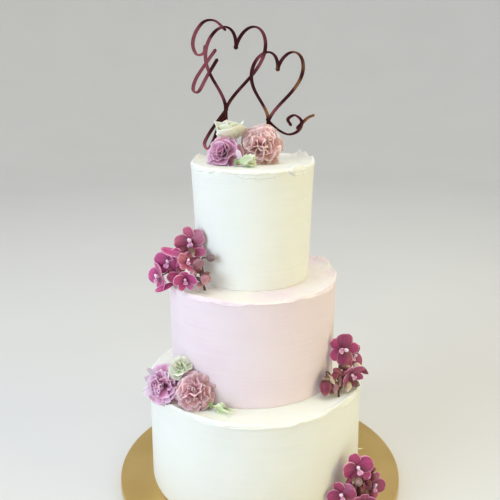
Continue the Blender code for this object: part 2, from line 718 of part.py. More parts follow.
def build_topper():
    """Builds the topper: two linked pen-drawn hearts with swashes, on two stakes."""
    material = make_material("rose_gold_mirror", ROSE_MIRROR, 0.06, 1.0)
    large = (-44.0, 64.0, 76.0, 104.0)
    small = (12.0, 49.0, 66.0, 88.0)
    swashes = (
        # The hook that leaves the large heart's left lobe
        ((-43, 164), (-56, 175), (-70, 174), (-81, 161), (-85, 146), (-80, 134), (-71, 136), (-69, 145)),
        # The long loop left of the large heart
        ((-54, 128), (-67, 108), (-79, 88), (-86, 90), (-82, 104), (-68, 124), (-56, 140)),
        # The low loop left of the flowers
        ((-42, 66), (-53, 52), (-66, 34), (-73, 20), (-68, 13), (-61, 24), (-53, 44), (-44, 58)),
        # The curl at the lower right
        ((10, 52), (24, 39), (39, 32), (52, 37), (56, 49), (47, 57), (38, 52), (42, 44)),
        # The flick out of the curl
        ((50, 40), (58, 48), (65, 54), (72, 57)),
    )
    # Each stroke is cut from stock of its own thickness, so that no two faces coincide
    stock = (STOCK_SHEET + i * STOCK_STEP for i in itertools.count())
    strokes = []
    for heart in (large, small):
        strokes.append(stake(heart[0], heart[1], next(stock), material))
        halves = [heart_half(side, *heart) for side in (-1, 1)]
        strokes += [ribbon(half, next(stock), material) for half in halves]
        strokes.append(pen_dot(halves[0][0], 0.62 * PEN_THICK, next(stock), material))
    for swash in swashes:
        path = smooth_path([topper_point(*point) for point in swash], PEN_STEP)
        strokes.append(ribbon(path, next(stock), material))
    topper = fuse("topper", strokes)
    low, high = world_box(topper)
    margin = STOCK_SHEET
    corners = ((high.x + margin, high.z + margin), (low.x - margin, high.z + margin),
               (low.x - margin, low.z - margin), (high.x + margin, low.z - margin))
    outline = [Vector((x, TOPPER_Y, z)) for x, z in corners]
    sheet = flat_outline("sheet", outline, TOPPER_SHEET, material)
    apply_boolean(topper, sheet, "INTERSECT", "MANIFOLD")
    remove_piece(sheet)
    return topper, (large[0], small[0])


def cut_slots(top_tier, stakes):
    """Cuts the two close slots that the topper's stakes stand in."""
    for across in stakes:
        slot_depth = STAKE_DEPTH + TOUCH_GAP
        middle = topper_point(across, 0.0)
        middle.z += 0.5 * (10.0 * MM - slot_depth)
        cutter_mesh = bpy.data.meshes.new("slot")
        cutter = bmesh.new()
        bmesh.ops.create_cube(cutter, size=1.0)
        size = Vector((STAKE_WIDTH + 2 * TOUCH_GAP, TOPPER_SHEET + 2 * TOUCH_GAP, slot_depth + 10.0 * MM))
        bmesh.ops.scale(cutter, vec=size, verts=cutter.verts[:])
        bmesh.ops.translate(cutter, vec=middle, verts=cutter.verts[:])
        cutter.to_mesh(cutter_mesh)
        cutter.free()
        slot = bpy.data.objects.new("slot", cutter_mesh)
        bpy.context.collection.objects.link(slot)
        apply_boolean(top_tier, slot, "DIFFERENCE")
        remove_piece(slot)


def build_flowers(tiers, board):
    """Builds every flower group against the tier, ledge or board that carries it."""
    orchid = make_material("orchid_petals", ORCHID_PINK, 0.6)
    stems = make_material("orchid_stems", STEM_BROWN, 0.6)
    finishes = (orchid, stems)
    drum, bottom, middle, top = [clearance(piece) for piece in (board, *tiers)]
    pieces = []
    pieces += build_spray("left_orchid", LEFT_BLOOMS, LEFT_BUDS, LEFT_STEM, [middle, top], finishes)
    pieces += build_spray("right_orchid", RIGHT_BLOOMS, RIGHT_BUDS, RIGHT_STEM, [bottom, middle], finishes)
    pieces += build_spray("base_orchid", BASE_BLOOMS, BASE_BUDS, BASE_STEM, [drum, bottom], finishes)
    ledge = [build_carnation(flower) for flower in LEDGE_CARNATIONS] + [build_bud(LEDGE_BUD)]
    crown = [build_carnation(flower) for flower in TOP_CARNATIONS] + [build_rose(), build_bud(TOP_BUD)]
    trim_in_order(ledge, [bottom, middle])
    trim_in_order(crown, [top])
    return pieces + ledge + crown


def main():
    """Clears the scene and builds the whole cake, parented to one empty at its origin."""
    for leftover in list(bpy.data.objects):
        bpy.data.objects.remove(leftover)
    white = make_material("white_buttercream", WHITE_CREAM, 0.5)
    blush = make_material("blush_buttercream", BLUSH_CREAM, 0.5)
    board = build_board()
    tiers = [build_tier(tier, cream) for tier, cream in zip(TIERS, (white, blush, white))]
    topper, stakes = build_topper()
    flowers = build_flowers(tiers, board)
    for guide in [piece for piece in bpy.data.objects if piece.name.endswith("_clearance")]:
        remove_piece(guide)
    cut_slots(tiers[2], stakes)
    root = bpy.data.objects.new("wedding_cake", None)
    bpy.context.collection.objects.link(root)
    for piece in [board, *tiers, topper, *flowers]:
        piece.parent = root


main()
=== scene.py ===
"""Looks of a three-tier wedding cake: buttercream, fresh flowers, a mirror topper, a gold board.

Lengths are in metres in the cake's own frame: +Z up, the origin on the table under the middle
of the board, the front towards -Y. The tiers and the board take their form from their solids,
and the flowers and the topper repeat the named places and sizes of theirs.
"""

import itertools
import json
import logging
import math
import random
from dataclasses import astuple, dataclass
from enum import Enum, StrEnum
from typing import Sequence

import bpy
import numpy as np
from mathutils import Euler, Matrix, Vector

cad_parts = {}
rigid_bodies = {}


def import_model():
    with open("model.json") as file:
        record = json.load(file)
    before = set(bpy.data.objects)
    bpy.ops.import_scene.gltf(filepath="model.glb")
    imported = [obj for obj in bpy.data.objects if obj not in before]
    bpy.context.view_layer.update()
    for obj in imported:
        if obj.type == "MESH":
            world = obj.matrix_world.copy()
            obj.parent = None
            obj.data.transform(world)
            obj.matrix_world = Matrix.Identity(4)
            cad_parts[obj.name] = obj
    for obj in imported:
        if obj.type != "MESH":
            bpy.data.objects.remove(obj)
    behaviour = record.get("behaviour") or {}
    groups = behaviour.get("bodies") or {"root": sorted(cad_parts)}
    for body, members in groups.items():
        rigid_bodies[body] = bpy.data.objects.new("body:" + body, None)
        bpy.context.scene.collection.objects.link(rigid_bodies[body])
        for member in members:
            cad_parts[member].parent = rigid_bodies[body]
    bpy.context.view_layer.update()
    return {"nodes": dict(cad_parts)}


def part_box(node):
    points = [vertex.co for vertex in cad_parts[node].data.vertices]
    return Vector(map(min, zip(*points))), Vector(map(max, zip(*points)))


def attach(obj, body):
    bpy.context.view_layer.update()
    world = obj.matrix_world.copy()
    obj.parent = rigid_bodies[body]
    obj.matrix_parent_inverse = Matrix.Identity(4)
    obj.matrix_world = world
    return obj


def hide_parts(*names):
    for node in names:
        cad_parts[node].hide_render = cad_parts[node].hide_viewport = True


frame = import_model()

LOG = logging.getLogger("wedding_cake")
MM = 0.001
TOUCH_GAP = 0.3 * MM
GOLDEN_ANGLE = math.pi * (3.0 - math.sqrt(5.0))

Colour = tuple[float, float, float]


def srgb(*levels: int) -> Colour:
    """Turns a colour, red, green and blue from 0 to 255, into linear light."""
    shares = [level / 255.0 for level in levels]
    return tuple(s / 12.92 if s <= 0.04045 else ((s + 0.055) / 1.055) ** 2.4 for s in shares)


def circle(count: int) -> np.ndarray:
    """Gives angles evenly spaced round a circle."""
    return np.arange(count) / count * math.tau


def grids(along: np.ndarray, across: np.ndarray) -> Sequence[np.ndarray]:
    """Spreads values over rows and others over columns, as two grids."""
    return np.meshgrid(along, across, indexing="ij")


def lathe(profile: Sequence[tuple[float, float]], sides: int) -> np.ndarray:
    """Turns a profile of radii and heights into rings of points."""
    return np.array([[(r * math.cos(t), r * math.sin(t), z) for t in circle(sides)] for r, z in profile])


def bell(value: np.ndarray, width: float) -> np.ndarray:
    """Swells to 1 where a value is 0, and fades over a width."""
    return np.exp(-(value / width) ** 2)


def degrees_off(turn: np.ndarray, angle: float) -> np.ndarray:
    """Gives how many degrees angles lie off another one, from -180 to 180."""
    return (np.degrees(turn) - angle + 180.0) % 360.0 - 180.0


def curve(before: object, start: object, end: object, after: object, t: object) -> object:
    """Runs smoothly from start to end as t goes from 0 to 1, with its neighbours in view."""
    return 0.5 * (2 * start + (end - before) * t + (2 * before - 5 * start + 4 * end - after) * t * t
                  + (3 * start - before - 3 * end + after) * t * t * t)


def lattice(seed: int, rows: int, columns: int, row_at: np.ndarray, turn: np.ndarray) -> np.ndarray:
    """Reads smooth noise that closes on itself round a circle.

    Args:
        seed: Fixes the random values.
        rows: How many random rows there are.
        columns: How many random columns go round the circle.
        row_at: Where to read it, from 0 to 1 across the rows.
        turn: Where to read it, as an angle.

    Returns:
        Values within -1 and 1, of the shape of row_at and turn.
    """
    values = np.random.default_rng(seed).uniform(-1.0, 1.0, (rows + 1, columns))
    across = (turn / math.tau % 1.0) * columns
    along = np.clip(row_at, 0.0, 1.0) * (rows - 1e-6)
    column = np.floor(across).astype(int)
    row = np.floor(along).astype(int)
    s = across - column
    t = along - row
    s = s * s * (3.0 - 2.0 * s)
    t = t * t * (3.0 - 2.0 * t)
    column %= columns
    after = (column + 1) % columns
    low = values[row, column] * (1.0 - s) + values[row, after] * s
    high = values[row + 1, column] * (1.0 - s) + values[row + 1, after] * s
    return low * (1.0 - t) + high * t


def smooth_step(low: float, high: float, value: np.ndarray) -> np.ndarray:
    """Rises smoothly from 0 at low to 1 at high."""
    t = np.clip((value - low) / (high - low), 0.0, 1.0)
    return t * t * (3.0 - 2.0 * t)


def smooth_path(points: Sequence[Vector], step: float) -> list[Vector]:
    """Runs a smooth curve through points.

    Args:
        points: The points, in order.
        step: About how far apart the curve is read.

    Returns:
        The curve's own points.
    """
    ends = [points[0] * 2 - points[1], *points, points[-1] * 2 - points[-2]]
    path = []
    for knots in zip(ends, ends[1:], ends[2:], ends[3:]):
        count = max(1, round((knots[2] - knots[1]).length / step))
        path += [curve(*knots, i / count) for i in range(count)]
    return [*path, points[-1].copy()]


def facing(centre: Sequence[float], azimuth: float, elevation: float, roll: float = 0.0) -> Matrix:
    """Places a flower: its local +Z faces out, its local +Y points up before the roll.

    Args:
        centre: The flower's middle, in millimetres.
        azimuth: The way it faces round the cake, in degrees from +X.
        elevation: How far it looks up, in degrees.
        roll: How far it is turned about its own axis, in degrees.

    Returns:
        The matrix from the flower's own frame to the cake's.
    """
    across = math.radians(azimuth)
    lifted = math.radians(elevation)
    forward = Vector((math.cos(across) * math.cos(lifted), math.sin(across) * math.cos(lifted),
                      math.sin(lifted)))
    upward = (Vector((0, 0, 1)) - forward * forward.z).normalized()
    right = upward.cross(forward)
    turned = Matrix((right, upward, forward)).transposed().to_4x4()
    return Matrix.Translation(Vector(centre) * MM) @ turned @ Matrix.Rotation(math.radians(roll), 4, "Z")


def moved(points: np.ndarray, place: Matrix | None) -> np.ndarray:
    """Moves points by a matrix, if there is one."""
    return points if place is None else points @ np.array(place.to_3x3()).T + np.array(place.translation)


class MeshPile:
    """Gathers closed skins into one mesh, with the values along and across that the shaders read."""

    def __init__(self) -> None:
        """Starts an empty pile."""
        self.points: list[np.ndarray] = []
        self.faces: list[list[int]] = []
        self.slots: list[int] = []
        self.petal: list[np.ndarray] = []
        self.chance: list[float] = []
        self.count = 0

    def add(self, points: np.ndarray, faces: list, along: np.ndarray, across: np.ndarray,
            slot: int = 0, chance: float = 0.5) -> None:
        """Adds one skin.

        Args:
            points: Its corners, one row each.
            faces: Its faces as lists of rows.
            along: Each corner's value from 0 at the base to 1 at the tip.
            across: Each corner's value from 0 at one side to 1 at the other.
            slot: The number of its material.
            chance: A number from 0 to 1 of its own, for its tone.
        """
        self.points.append(points)
        self.faces += [[index + self.count for index in face] for face in faces]
        self.slots += [slot] * len(faces)
        self.petal.append(np.stack([along, across, np.full(len(points), chance)], 1))
        self.chance += [chance] * len(points)
        self.count += len(points)

    def add_sheet(self, grid: np.ndarray, thickness: float, slot: int = 0, chance: float = 0.5,
                  place: Matrix | None = None) -> None:
        """Adds a thin closed sheet from a grid of points: rows run along, columns across.

        Args:
            grid: The middle of the sheet, as rows, columns and 3 coordinates.
            thickness: Its thickness in the middle; it thins to the edges.
            slot: The number of its material.
            chance: A number from 0 to 1 of its own, for its tone.
            place: Moves the grid first, if given.
        """
        grid = moved(grid, place)
        rows, columns = grid.shape[:2]
        normal = np.cross(np.gradient(grid, axis=1), np.gradient(grid, axis=0))
        normal /= np.linalg.norm(normal, axis=2, keepdims=True) + 1e-12
        along, across = grids(np.linspace(0, 1, rows), np.linspace(0, 1, columns))
        rim = np.maximum(np.abs(2 * across - 1), along) ** 4
        half = (0.5 * thickness * (1.0 - 0.55 * rim))[..., None]
        front = (grid + normal * half).reshape(-1, 3)
        back = (grid - normal * half).reshape(-1, 3)
        index = np.arange(rows * columns).reshape(rows, columns)
        behind = index + rows * columns
        quads = [np.stack([index[:-1, :-1], index[:-1, 1:], index[1:, 1:], index[1:, :-1]], -1),
                 np.stack([behind[:-1, :-1], behind[1:, :-1], behind[1:, 1:], behind[:-1, 1:]], -1),
                 np.stack([index[0, 1:], index[0, :-1], behind[0, :-1], behind[0, 1:]], -1),
                 np.stack([index[-1, :-1], index[-1, 1:], behind[-1, 1:], behind[-1, :-1]], -1),
                 np.stack([index[:-1, 0], index[1:, 0], behind[1:, 0], behind[:-1, 0]], -1),
                 np.stack([index[1:, -1], index[:-1, -1], behind[:-1, -1], behind[1:, -1]], -1)]
        faces = [face for part in quads for face in part.reshape(-1, 4).tolist()]
        self.add(np.concatenate([front, back]), faces, np.tile(along.ravel(), 2),
                 np.tile(across.ravel(), 2), slot, chance)

    def add_rings(self, rings: np.ndarray, slot: int = 0, chance: float = 0.5,
                  place: Matrix | None = None) -> None:
        """Adds a closed skin over rings of points, counterclockwise about the way they climb.

        Args:
            rings: The rings, as rows, columns and 3 coordinates.
            slot: The number of its material.
            chance: A number from 0 to 1 of its own, for its tone.
            place: Moves the rings first, if given.
        """
        rings = moved(rings, place)
        rows, columns = rings.shape[:2]
        index = np.arange(rows * columns).reshape(rows, columns)
        after = np.roll(index, -1, axis=1)
        quads = np.stack([index[:-1], after[:-1], after[1:], index[1:]], -1).reshape(-1, 4).tolist()
        foot = rows * columns
        caps = [[foot, int(b), int(a)] for a, b in zip(index[0], after[0])]
        caps += [[foot + 1, int(a), int(b)] for a, b in zip(index[-1], after[-1])]
        points = np.concatenate([rings.reshape(-1, 3), rings[0].mean(0)[None], rings[-1].mean(0)[None]])
        along = np.append(np.repeat(np.linspace(0, 1, rows), columns), [0.0, 1.0])
        across = np.append(np.tile(np.arange(columns) / columns, rows), [0.5, 0.5])
        self.add(points, quads + caps, along, across, slot, chance)

    def to_mesh(self, name: str) -> bpy.types.Mesh:
        """Writes the pile out.

        Args:
            name: The mesh's name.

        Returns:
            One smooth mesh with its petal attributes.
        """
        mesh = bpy.data.meshes.new(name)
        mesh.from_pydata(np.concatenate(self.points).tolist(), [], self.faces)
        mesh.polygons.foreach_set("material_index", self.slots)
        petal = mesh.attributes.new("petal", "FLOAT_VECTOR", "POINT")
        petal.data.foreach_set("vector", np.concatenate(self.petal).astype(np.float32).ravel())
        chance = mesh.attributes.new("chance", "FLOAT", "POINT")
        chance.data.foreach_set("value", np.array(self.chance, np.float32))
        mesh.shade_smooth()
        mesh.update()
        return mesh


class Wiring:
    """Short calls that wire one node tree."""

    def __init__(self, tree: bpy.types.NodeTree) -> None:
        """Takes the node tree to work in."""
        self.tree = tree

    def sockets(self, way: str, rows: Sequence[tuple[str, str]]) -> dict[str, str]:
        """Adds named sockets to the tree's face.

        Args:
            way: "INPUT" or "OUTPUT".
            rows: Pairs of a title and a kind, such as "Float".

        Returns:
            The identifier of each socket by its title.
        """
        return {title: self.tree.interface.new_socket(name=title, in_out=way,
                                                      socket_type="NodeSocket" + kind).identifier
                for title, kind in rows}

    def feed(self, node: bpy.types.Node, feeds: dict[object, object]) -> None:
        """Feeds a node's inputs, by name or by number.

        Args:
            node: The node.
            feeds: A socket to link to each input, or the input's own value.
        """
        for key, source in feeds.items():
            target = node.inputs[key]
            if isinstance(source, bpy.types.NodeSocket):
                self.tree.links.new(source, target)
            elif target.type == "RGBA":
                target.default_value = (*source, 1.0)
            else:
                target.default_value = source

    def add(self, kind: str, feeds: dict[object, object] | None = None, **settings: object) -> bpy.types.Node:
        """Adds a node, sets its properties and feeds its inputs.

        Args:
            kind: The node's type.
            feeds: What each input gets, by name or by number.
            settings: The node's own properties.

        Returns:
            The node.
        """
        node = self.tree.nodes.new(kind)
        for key, value in settings.items():
            setattr(node, key, value)
        self.feed(node, feeds or {})
        return node

    def math(self, operation: str, *values: object) -> bpy.types.NodeSocket:
        """Adds a Math node and gives its result."""
        return self.add("ShaderNodeMath", dict(enumerate(values)), operation=operation).outputs[0]

    def combine(self, x: object, y: object, z: object) -> bpy.types.NodeSocket:
        """Makes a vector of three values."""
        return self.add("ShaderNodeCombineXYZ", {0: x, 1: y, 2: z}).outputs[0]


class ShaderNodes(Wiring):
    """The calls that materials and their effects share."""

    def place(self) -> bpy.types.NodeSocket:
        """Reads where a point is on its piece."""
        return self.add("ShaderNodeTexCoord").outputs["Object"]

    def parts(self, vector: object) -> bpy.types.NodeOutputs:
        """Splits a vector into its three values."""
        return self.add("ShaderNodeSeparateXYZ", {0: vector}).outputs

    def mix(self, factor: object, first: object, second: object, blend: str = "MIX") -> bpy.types.NodeSocket:
        """Mixes two colours."""
        feeds = {0: factor, 6: first, 7: second}
        return self.add("ShaderNodeMix", feeds, data_type="RGBA", blend_type=blend).outputs[2]

    def stretch(self, vector: object, scale: Sequence[float]) -> bpy.types.NodeSocket:
        """Scales a pattern's coordinates."""
        return self.add("ShaderNodeMapping", {"Vector": vector, "Scale": scale}).outputs[0]

    def noise(self, vector: object, scale: float, detail: float = 3.0,
              distortion: float = 0.0) -> bpy.types.NodeSocket:
        """Reads a noise pattern, from 0 to 1."""
        feeds = {"Vector": vector, "Scale": scale, "Detail": detail, "Distortion": distortion}
        return self.add("ShaderNodeTexNoise", feeds).outputs["Fac"]

    def span(self, *values: object) -> bpy.types.NodeSocket:
        """Moves a value smoothly from the range low to high to the range 0 to 1, or start to end."""
        feeds = dict(enumerate(values))
        return self.add("ShaderNodeMapRange", feeds, interpolation_type="SMOOTHSTEP").outputs[0]

    def bump(self, height: object, distance: float, strength: float = 1.0) -> bpy.types.NodeSocket:
        """Turns a height into a normal."""
        feeds = {"Height": height, "Distance": distance, "Strength": strength}
        return self.add("ShaderNodeBump", feeds).outputs[0]


class Effect(ShaderNodes):
    """A shader node group with named inputs that gives a colour, a roughness and a height."""

    def __init__(self, name: str, inputs: Sequence[tuple[str, str]]) -> None:
        """Starts the group.

        Args:
            name: The group's name.
            inputs: Each input's name and socket kind, such as Color or Float.
        """
        super().__init__(bpy.data.node_groups.new(name, "ShaderNodeTree"))
        self.sockets("INPUT", inputs)
        self.sockets("OUTPUT", (("Color", "Color"), ("Roughness", "Float"), ("Height", "Float")))
        self.given = self.add("NodeGroupInput").outputs

    def end(self, colour: object, rough: object, height: object) -> bpy.types.NodeTree:
        """Feeds the group's outputs and gives the group."""
        self.add("NodeGroupOutput", {"Color": colour, "Roughness": rough, "Height": height})
        return self.tree


def cream_effect() -> bpy.types.NodeTree:
    """Builds the scraped buttercream effect: scraper lines, soft blotches and tiny air pits.

    Returns:
        The shader node group.
    """
    nodes = Effect("scraped_cream", (("Vector", "Vector"), ("Base", "Color"), ("Shade", "Color")))
    place = nodes.given["Vector"]
    lines = nodes.noise(nodes.stretch(place, (9.0, 9.0, 520.0)), 1.0, 4.0)
    broad = nodes.noise(nodes.stretch(place, (14.0, 14.0, 60.0)), 1.0, 2.0)
    pits = nodes.noise(place, 900.0, 2.0)
    blotch = nodes.noise(place, 22.0)
    tone = nodes.math("MULTIPLY_ADD", lines, 0.45, nodes.math("MULTIPLY", blotch, 0.55))
    colour = nodes.mix(nodes.span(tone, 0.38, 0.74), nodes.given["Base"], nodes.given["Shade"])
    rough = nodes.math("MULTIPLY_ADD", pits, 0.16, nodes.math("MULTIPLY_ADD", broad, 0.20, 0.30))
    height = nodes.math("MULTIPLY_ADD", lines, 0.30, nodes.math("MULTIPLY_ADD", pits, 0.14, broad))
    return nodes.end(colour, rough, height)


def petal_effect() -> bpy.types.NodeTree:
    """Builds the petal effect: a deep heart, long veins and a rim of another tone.

    Returns:
        The shader node group.
    """
    nodes = Effect("petal_veins", (
        ("Along", "Float"), ("Across", "Float"), ("Chance", "Float"), ("Heart", "Color"), ("Middle", "Color"),
        ("Rim", "Color"), ("Heart Reach", "Float"), ("Rim Width", "Float"), ("Vein Depth", "Float")))
    given = nodes.given
    along = given["Along"]
    chance = given["Chance"]
    fan = nodes.combine(nodes.math("MULTIPLY", given["Across"], 26.0), nodes.math("MULTIPLY", along, 1.6),
                        nodes.math("MULTIPLY", chance, 37.0))
    veins = nodes.noise(fan, 1.0, 3.0, 0.3)
    blotch = nodes.noise(nodes.stretch(fan, (0.16, 1.6, 1.0)), 1.0, 2.0)
    side = nodes.math("ABSOLUTE", nodes.math("MULTIPLY_ADD", given["Across"], 2.0, -1.0))
    uneven = nodes.math("MULTIPLY_ADD", blotch, 0.10, nodes.math("MAXIMUM", side, along))
    rim = nodes.span(uneven, nodes.math("SUBTRACT", 1.04, given["Rim Width"]), 1.06)
    # The heart colour fills each petal's base; on the curled mauve petals it is painted shade.
    heart = nodes.span(along, 0.02, given["Heart Reach"], 1.0, 0.0)
    tone = nodes.mix(heart, given["Middle"], given["Heart"])
    tone = nodes.mix(rim, tone, given["Rim"])
    tone = nodes.mix(nodes.span(veins, 0.42, 0.66, 0.0, given["Vein Depth"]), tone, given["Heart"])
    light = nodes.math("MULTIPLY_ADD", chance, 0.36, 0.82)
    tone = nodes.mix(1.0, tone, nodes.combine(light, light, light), "MULTIPLY")
    rough = nodes.math("MULTIPLY_ADD", blotch, 0.2, 0.42)
    return nodes.end(tone, rough, nodes.math("MULTIPLY_ADD", blotch, 0.3, veins))


def new_material(name: str) -> tuple[bpy.types.Material, ShaderNodes, bpy.types.Node]:
    """Starts a material.

    Args:
        name: The material's name.

    Returns:
        The material, its wiring and its shader.
    """
    material = bpy.data.materials.new(name)
    material.use_nodes = True
    return material, ShaderNodes(material.node_tree), material.node_tree.nodes["Principled BSDF"]


@dataclass(frozen=True)
class CreamFinish:
    """A buttercream: its colour on the sides, a ledge colour that is painted warm top light, its shaded tone,
    and its scraper lines.
    """

    name: str
    base: Colour
    shade: Colour
    # The ledge colour is painted light: the cream's tint under warm light from above and from the tier over
    # it.
    ledge: Colour
    relief: float = 0.07 * MM

    def material(self, effect: bpy.types.NodeTree) -> bpy.types.Material:
        """Builds the buttercream material.

        Args:
            effect: The scraped cream group.

        Returns:
            The material.
        """
        material, nodes, shader = new_material(self.name)
        # Painted top light: surfaces that face up take the ledge colour in place of the side colour.
        upward = nodes.parts(nodes.add("ShaderNodeTexCoord").outputs["Normal"])[2]
        base = nodes.mix(nodes.span(upward, 0.45, 0.95), self.base, self.ledge)
        cream = nodes.add("ShaderNodeGroup", {"Vector": nodes.place(), "Base": base, "Shade": self.shade},
                          node_tree=effect).outputs
        nodes.feed(shader, {
            "Base Color": cream["Color"], "Roughness": cream["Roughness"],
            "Normal": nodes.bump(cream["Height"], self.relief), "Subsurface Weight": 0.22,
            "Subsurface Radius": (1.0, 0.8, 0.55), "Subsurface Scale": 3.0 * MM,
            "Specular IOR Level": 0.38, "IOR": 1.46})
        return material


@dataclass(frozen=True)
class PetalFinish:
    """A petal's colours from its heart to its rim, and how its veins show."""

    name: str
    heart: Colour
    middle: Colour
    rim: Colour
    heart_reach: float = 0.5
    rim_width: float = 0.16
    veins: float = 0.25
    waxy: float = 0.0
    sheen: float = 0.25
    relief: float = 0.12 * MM

    def material(self, effect: bpy.types.NodeTree) -> bpy.types.Material:
        """Builds the petal material, which reads the petal and chance attributes.

        Args:
            effect: The petal veins group.

        Returns:
            The material.
        """
        material, nodes, shader = new_material(self.name)
        petal = nodes.parts(nodes.add("ShaderNodeAttribute", attribute_name="petal").outputs["Vector"])
        chance = nodes.add("ShaderNodeAttribute", attribute_name="chance").outputs["Fac"]
        tone = nodes.add("ShaderNodeGroup", {
            "Along": petal[0], "Across": petal[1], "Chance": chance, "Heart": self.heart,
            "Middle": self.middle, "Rim": self.rim, "Heart Reach": self.heart_reach,
            "Rim Width": self.rim_width, "Vein Depth": self.veins}, node_tree=effect).outputs
        nodes.feed(shader, {
            "Base Color": tone["Color"], "Roughness": tone["Roughness"],
            "Normal": nodes.bump(tone["Height"], self.relief), "Subsurface Weight": 0.2,
            "Subsurface Radius": (1.0, 0.4, 0.5), "Subsurface Scale": 1.5 * MM, "Sheen Weight": self.sheen,
            "Sheen Roughness": 0.4, "Coat Weight": self.waxy, "Coat Roughness": 0.28})
        return material


@dataclass(frozen=True)
class FoilFinish:
    """Gold foil paper: a warm metal with a fine emboss and soft handling marks."""

    name: str = "gold_foil_paper"
    base: Colour = (0.70, 0.48, 0.17)
    worn: Colour = (0.74, 0.53, 0.21)
    relief: float = 0.05 * MM

    def material(self) -> bpy.types.Material:
        """Builds the foil material.

        Returns:
            The material.
        """
        material, nodes, shader = new_material(self.name)
        place = nodes.place()
        cloud = nodes.noise(place, 16.0)
        grain = nodes.noise(place, 700.0, 2.0)
        weave = nodes.add("ShaderNodeTexVoronoi", {"Vector": place, "Scale": 420.0}, feature="SMOOTH_F1")
        height = nodes.math("MULTIPLY_ADD", grain, 0.5, weave.outputs["Distance"])
        rough = nodes.math("MULTIPLY_ADD", grain, 0.16, nodes.math("MULTIPLY_ADD", cloud, 0.14, 0.30))
        nodes.feed(shader, {
            "Base Color": nodes.mix(nodes.span(cloud, 0.3, 0.7), self.base, self.worn), "Roughness": rough,
            "Normal": nodes.bump(height, self.relief), "Metallic": 0.9})
        return material


@dataclass(frozen=True)
class MirrorFinish:
    """Rose-gold mirror acrylic: a dark red mirror whose colours are painted reflections, of dark surroundings
    in the base and of highlights in pinkish and orange-gold patches.
    """

    name: str = "rose_gold_mirror_acrylic"
    # All three colours are painted reflection: the deep red of dark surroundings, the other two of
    # highlights.
    deep: Colour = (0.075, 0.012, 0.016)
    pink_reflection: Colour = (0.42, 0.12, 0.16)
    amber_reflection: Colour = (0.50, 0.24, 0.10)
    relief: float = 0.03 * MM

    def material(self) -> bpy.types.Material:
        """Builds the mirror material, its painted highlights pinker to the left and more orange-gold to the
        right.

        Returns:
            The material.
        """
        material, nodes, shader = new_material(self.name)
        place = nodes.place()
        # Painted highlights: noise patches by place on the sheet, not by view, pinkish on the left and
        # orange-gold on the right.
        pink_reflection = nodes.noise(nodes.stretch(place, (26.0, 26.0, 15.0)), 1.0, 1.0, 0.6)
        amber_reflection = nodes.noise(nodes.stretch(place, (34.0, 34.0, 22.0)), 1.0, 1.0, 0.4)
        across = nodes.parts(place)[0]
        left = nodes.span(across, -0.085, -0.020, 0.24, 0.0)
        right = nodes.span(across, 0.000, 0.075, 0.0, 0.24)
        tone = nodes.mix(nodes.span(nodes.math("ADD", pink_reflection, left), 0.52, 0.72), self.deep, self.pink_reflection)
        tone = nodes.mix(nodes.span(nodes.math("ADD", amber_reflection, right), 0.60, 0.80), tone, self.amber_reflection)
        smear = nodes.noise(place, 90.0)
        nodes.feed(shader, {
            "Base Color": tone, "Roughness": nodes.math("MULTIPLY_ADD", smear, 0.10, 0.04),
            "Normal": nodes.bump(smear, self.relief, 0.5), "Metallic": 1.0, "Coat Weight": 0.25,
            "Coat Roughness": 0.03})
        return material


def put(name: str, data: bpy.types.ID) -> bpy.types.Object:
    """Puts an object at the origin of the scene.

    Args:
        name: The object's name.
        data: Its mesh, lamp or camera.

    Returns:
        The object.
    """
    item = bpy.data.objects.new(name, data)
    bpy.context.scene.collection.objects.link(item)
    return item


def finished_mesh(item: bpy.types.Object) -> bpy.types.Mesh:
    """Copies an object's mesh with its modifiers done.

    Args:
        item: The object.

    Returns:
        The plain mesh.
    """
    graph = bpy.context.evaluated_depsgraph_get()
    return bpy.data.meshes.new_from_object(item.evaluated_get(graph), preserve_all_data_layers=True,
                                           depsgraph=graph)


class GeometryTree(Wiring):
    """A Geometry Nodes tree built in code: named inputs, fixed seeds, and its result baked."""

    def __init__(self, name: str, inputs: Sequence[tuple[str, str]]) -> None:
        """Starts a tree whose first socket is the geometry.

        Args:
            name: The tree's name.
            inputs: Each further input's name and socket kind, such as Float or Int.
        """
        super().__init__(bpy.data.node_groups.new(name, "GeometryNodeTree"))
        self.sockets("INPUT", (("Geometry", "Geometry"),))
        self.sockets("OUTPUT", (("Geometry", "Geometry"),))
        self.keys = self.sockets("INPUT", inputs)
        self.given = self.add("NodeGroupInput").outputs

    def random(self, low: float, high: float, seed: object) -> bpy.types.NodeSocket:
        """Draws a number for each element, from a fixed seed."""
        return self.add("FunctionNodeRandomValue", {2: low, 3: high, 8: seed}, data_type="FLOAT").outputs[1]

    def end(self, geometry: bpy.types.NodeSocket) -> None:
        """Ends the tree in Realize Instances and Set Material.

        Args:
            geometry: What the tree has made.
        """
        real = self.add("GeometryNodeRealizeInstances", {"Geometry": geometry}).outputs[0]
        smooth = self.add("GeometryNodeSetShadeSmooth", {"Geometry": real}).outputs[0]
        feeds = {"Geometry": smooth, "Material": self.given["Material"]}
        self.add("NodeGroupOutput", {0: self.add("GeometryNodeSetMaterial", feeds).outputs[0]})

    def bake(self, name: str, base: bpy.types.Mesh, values: dict[str, object]) -> bpy.types.Mesh:
        """Runs the tree on a mesh.

        Args:
            name: The new mesh's name.
            base: The mesh that the tree starts from.
            values: The value of each named input.

        Returns:
            The result as a plain mesh, with no modifier left on it.
        """
        holder = put(name, base)
        modifier = holder.modifiers.new("build", "NODES")
        modifier.node_group = self.tree
        for title, value in values.items():
            modifier[self.keys[title]] = value
        mesh = finished_mesh(holder)
        bpy.data.objects.remove(holder)
        return mesh


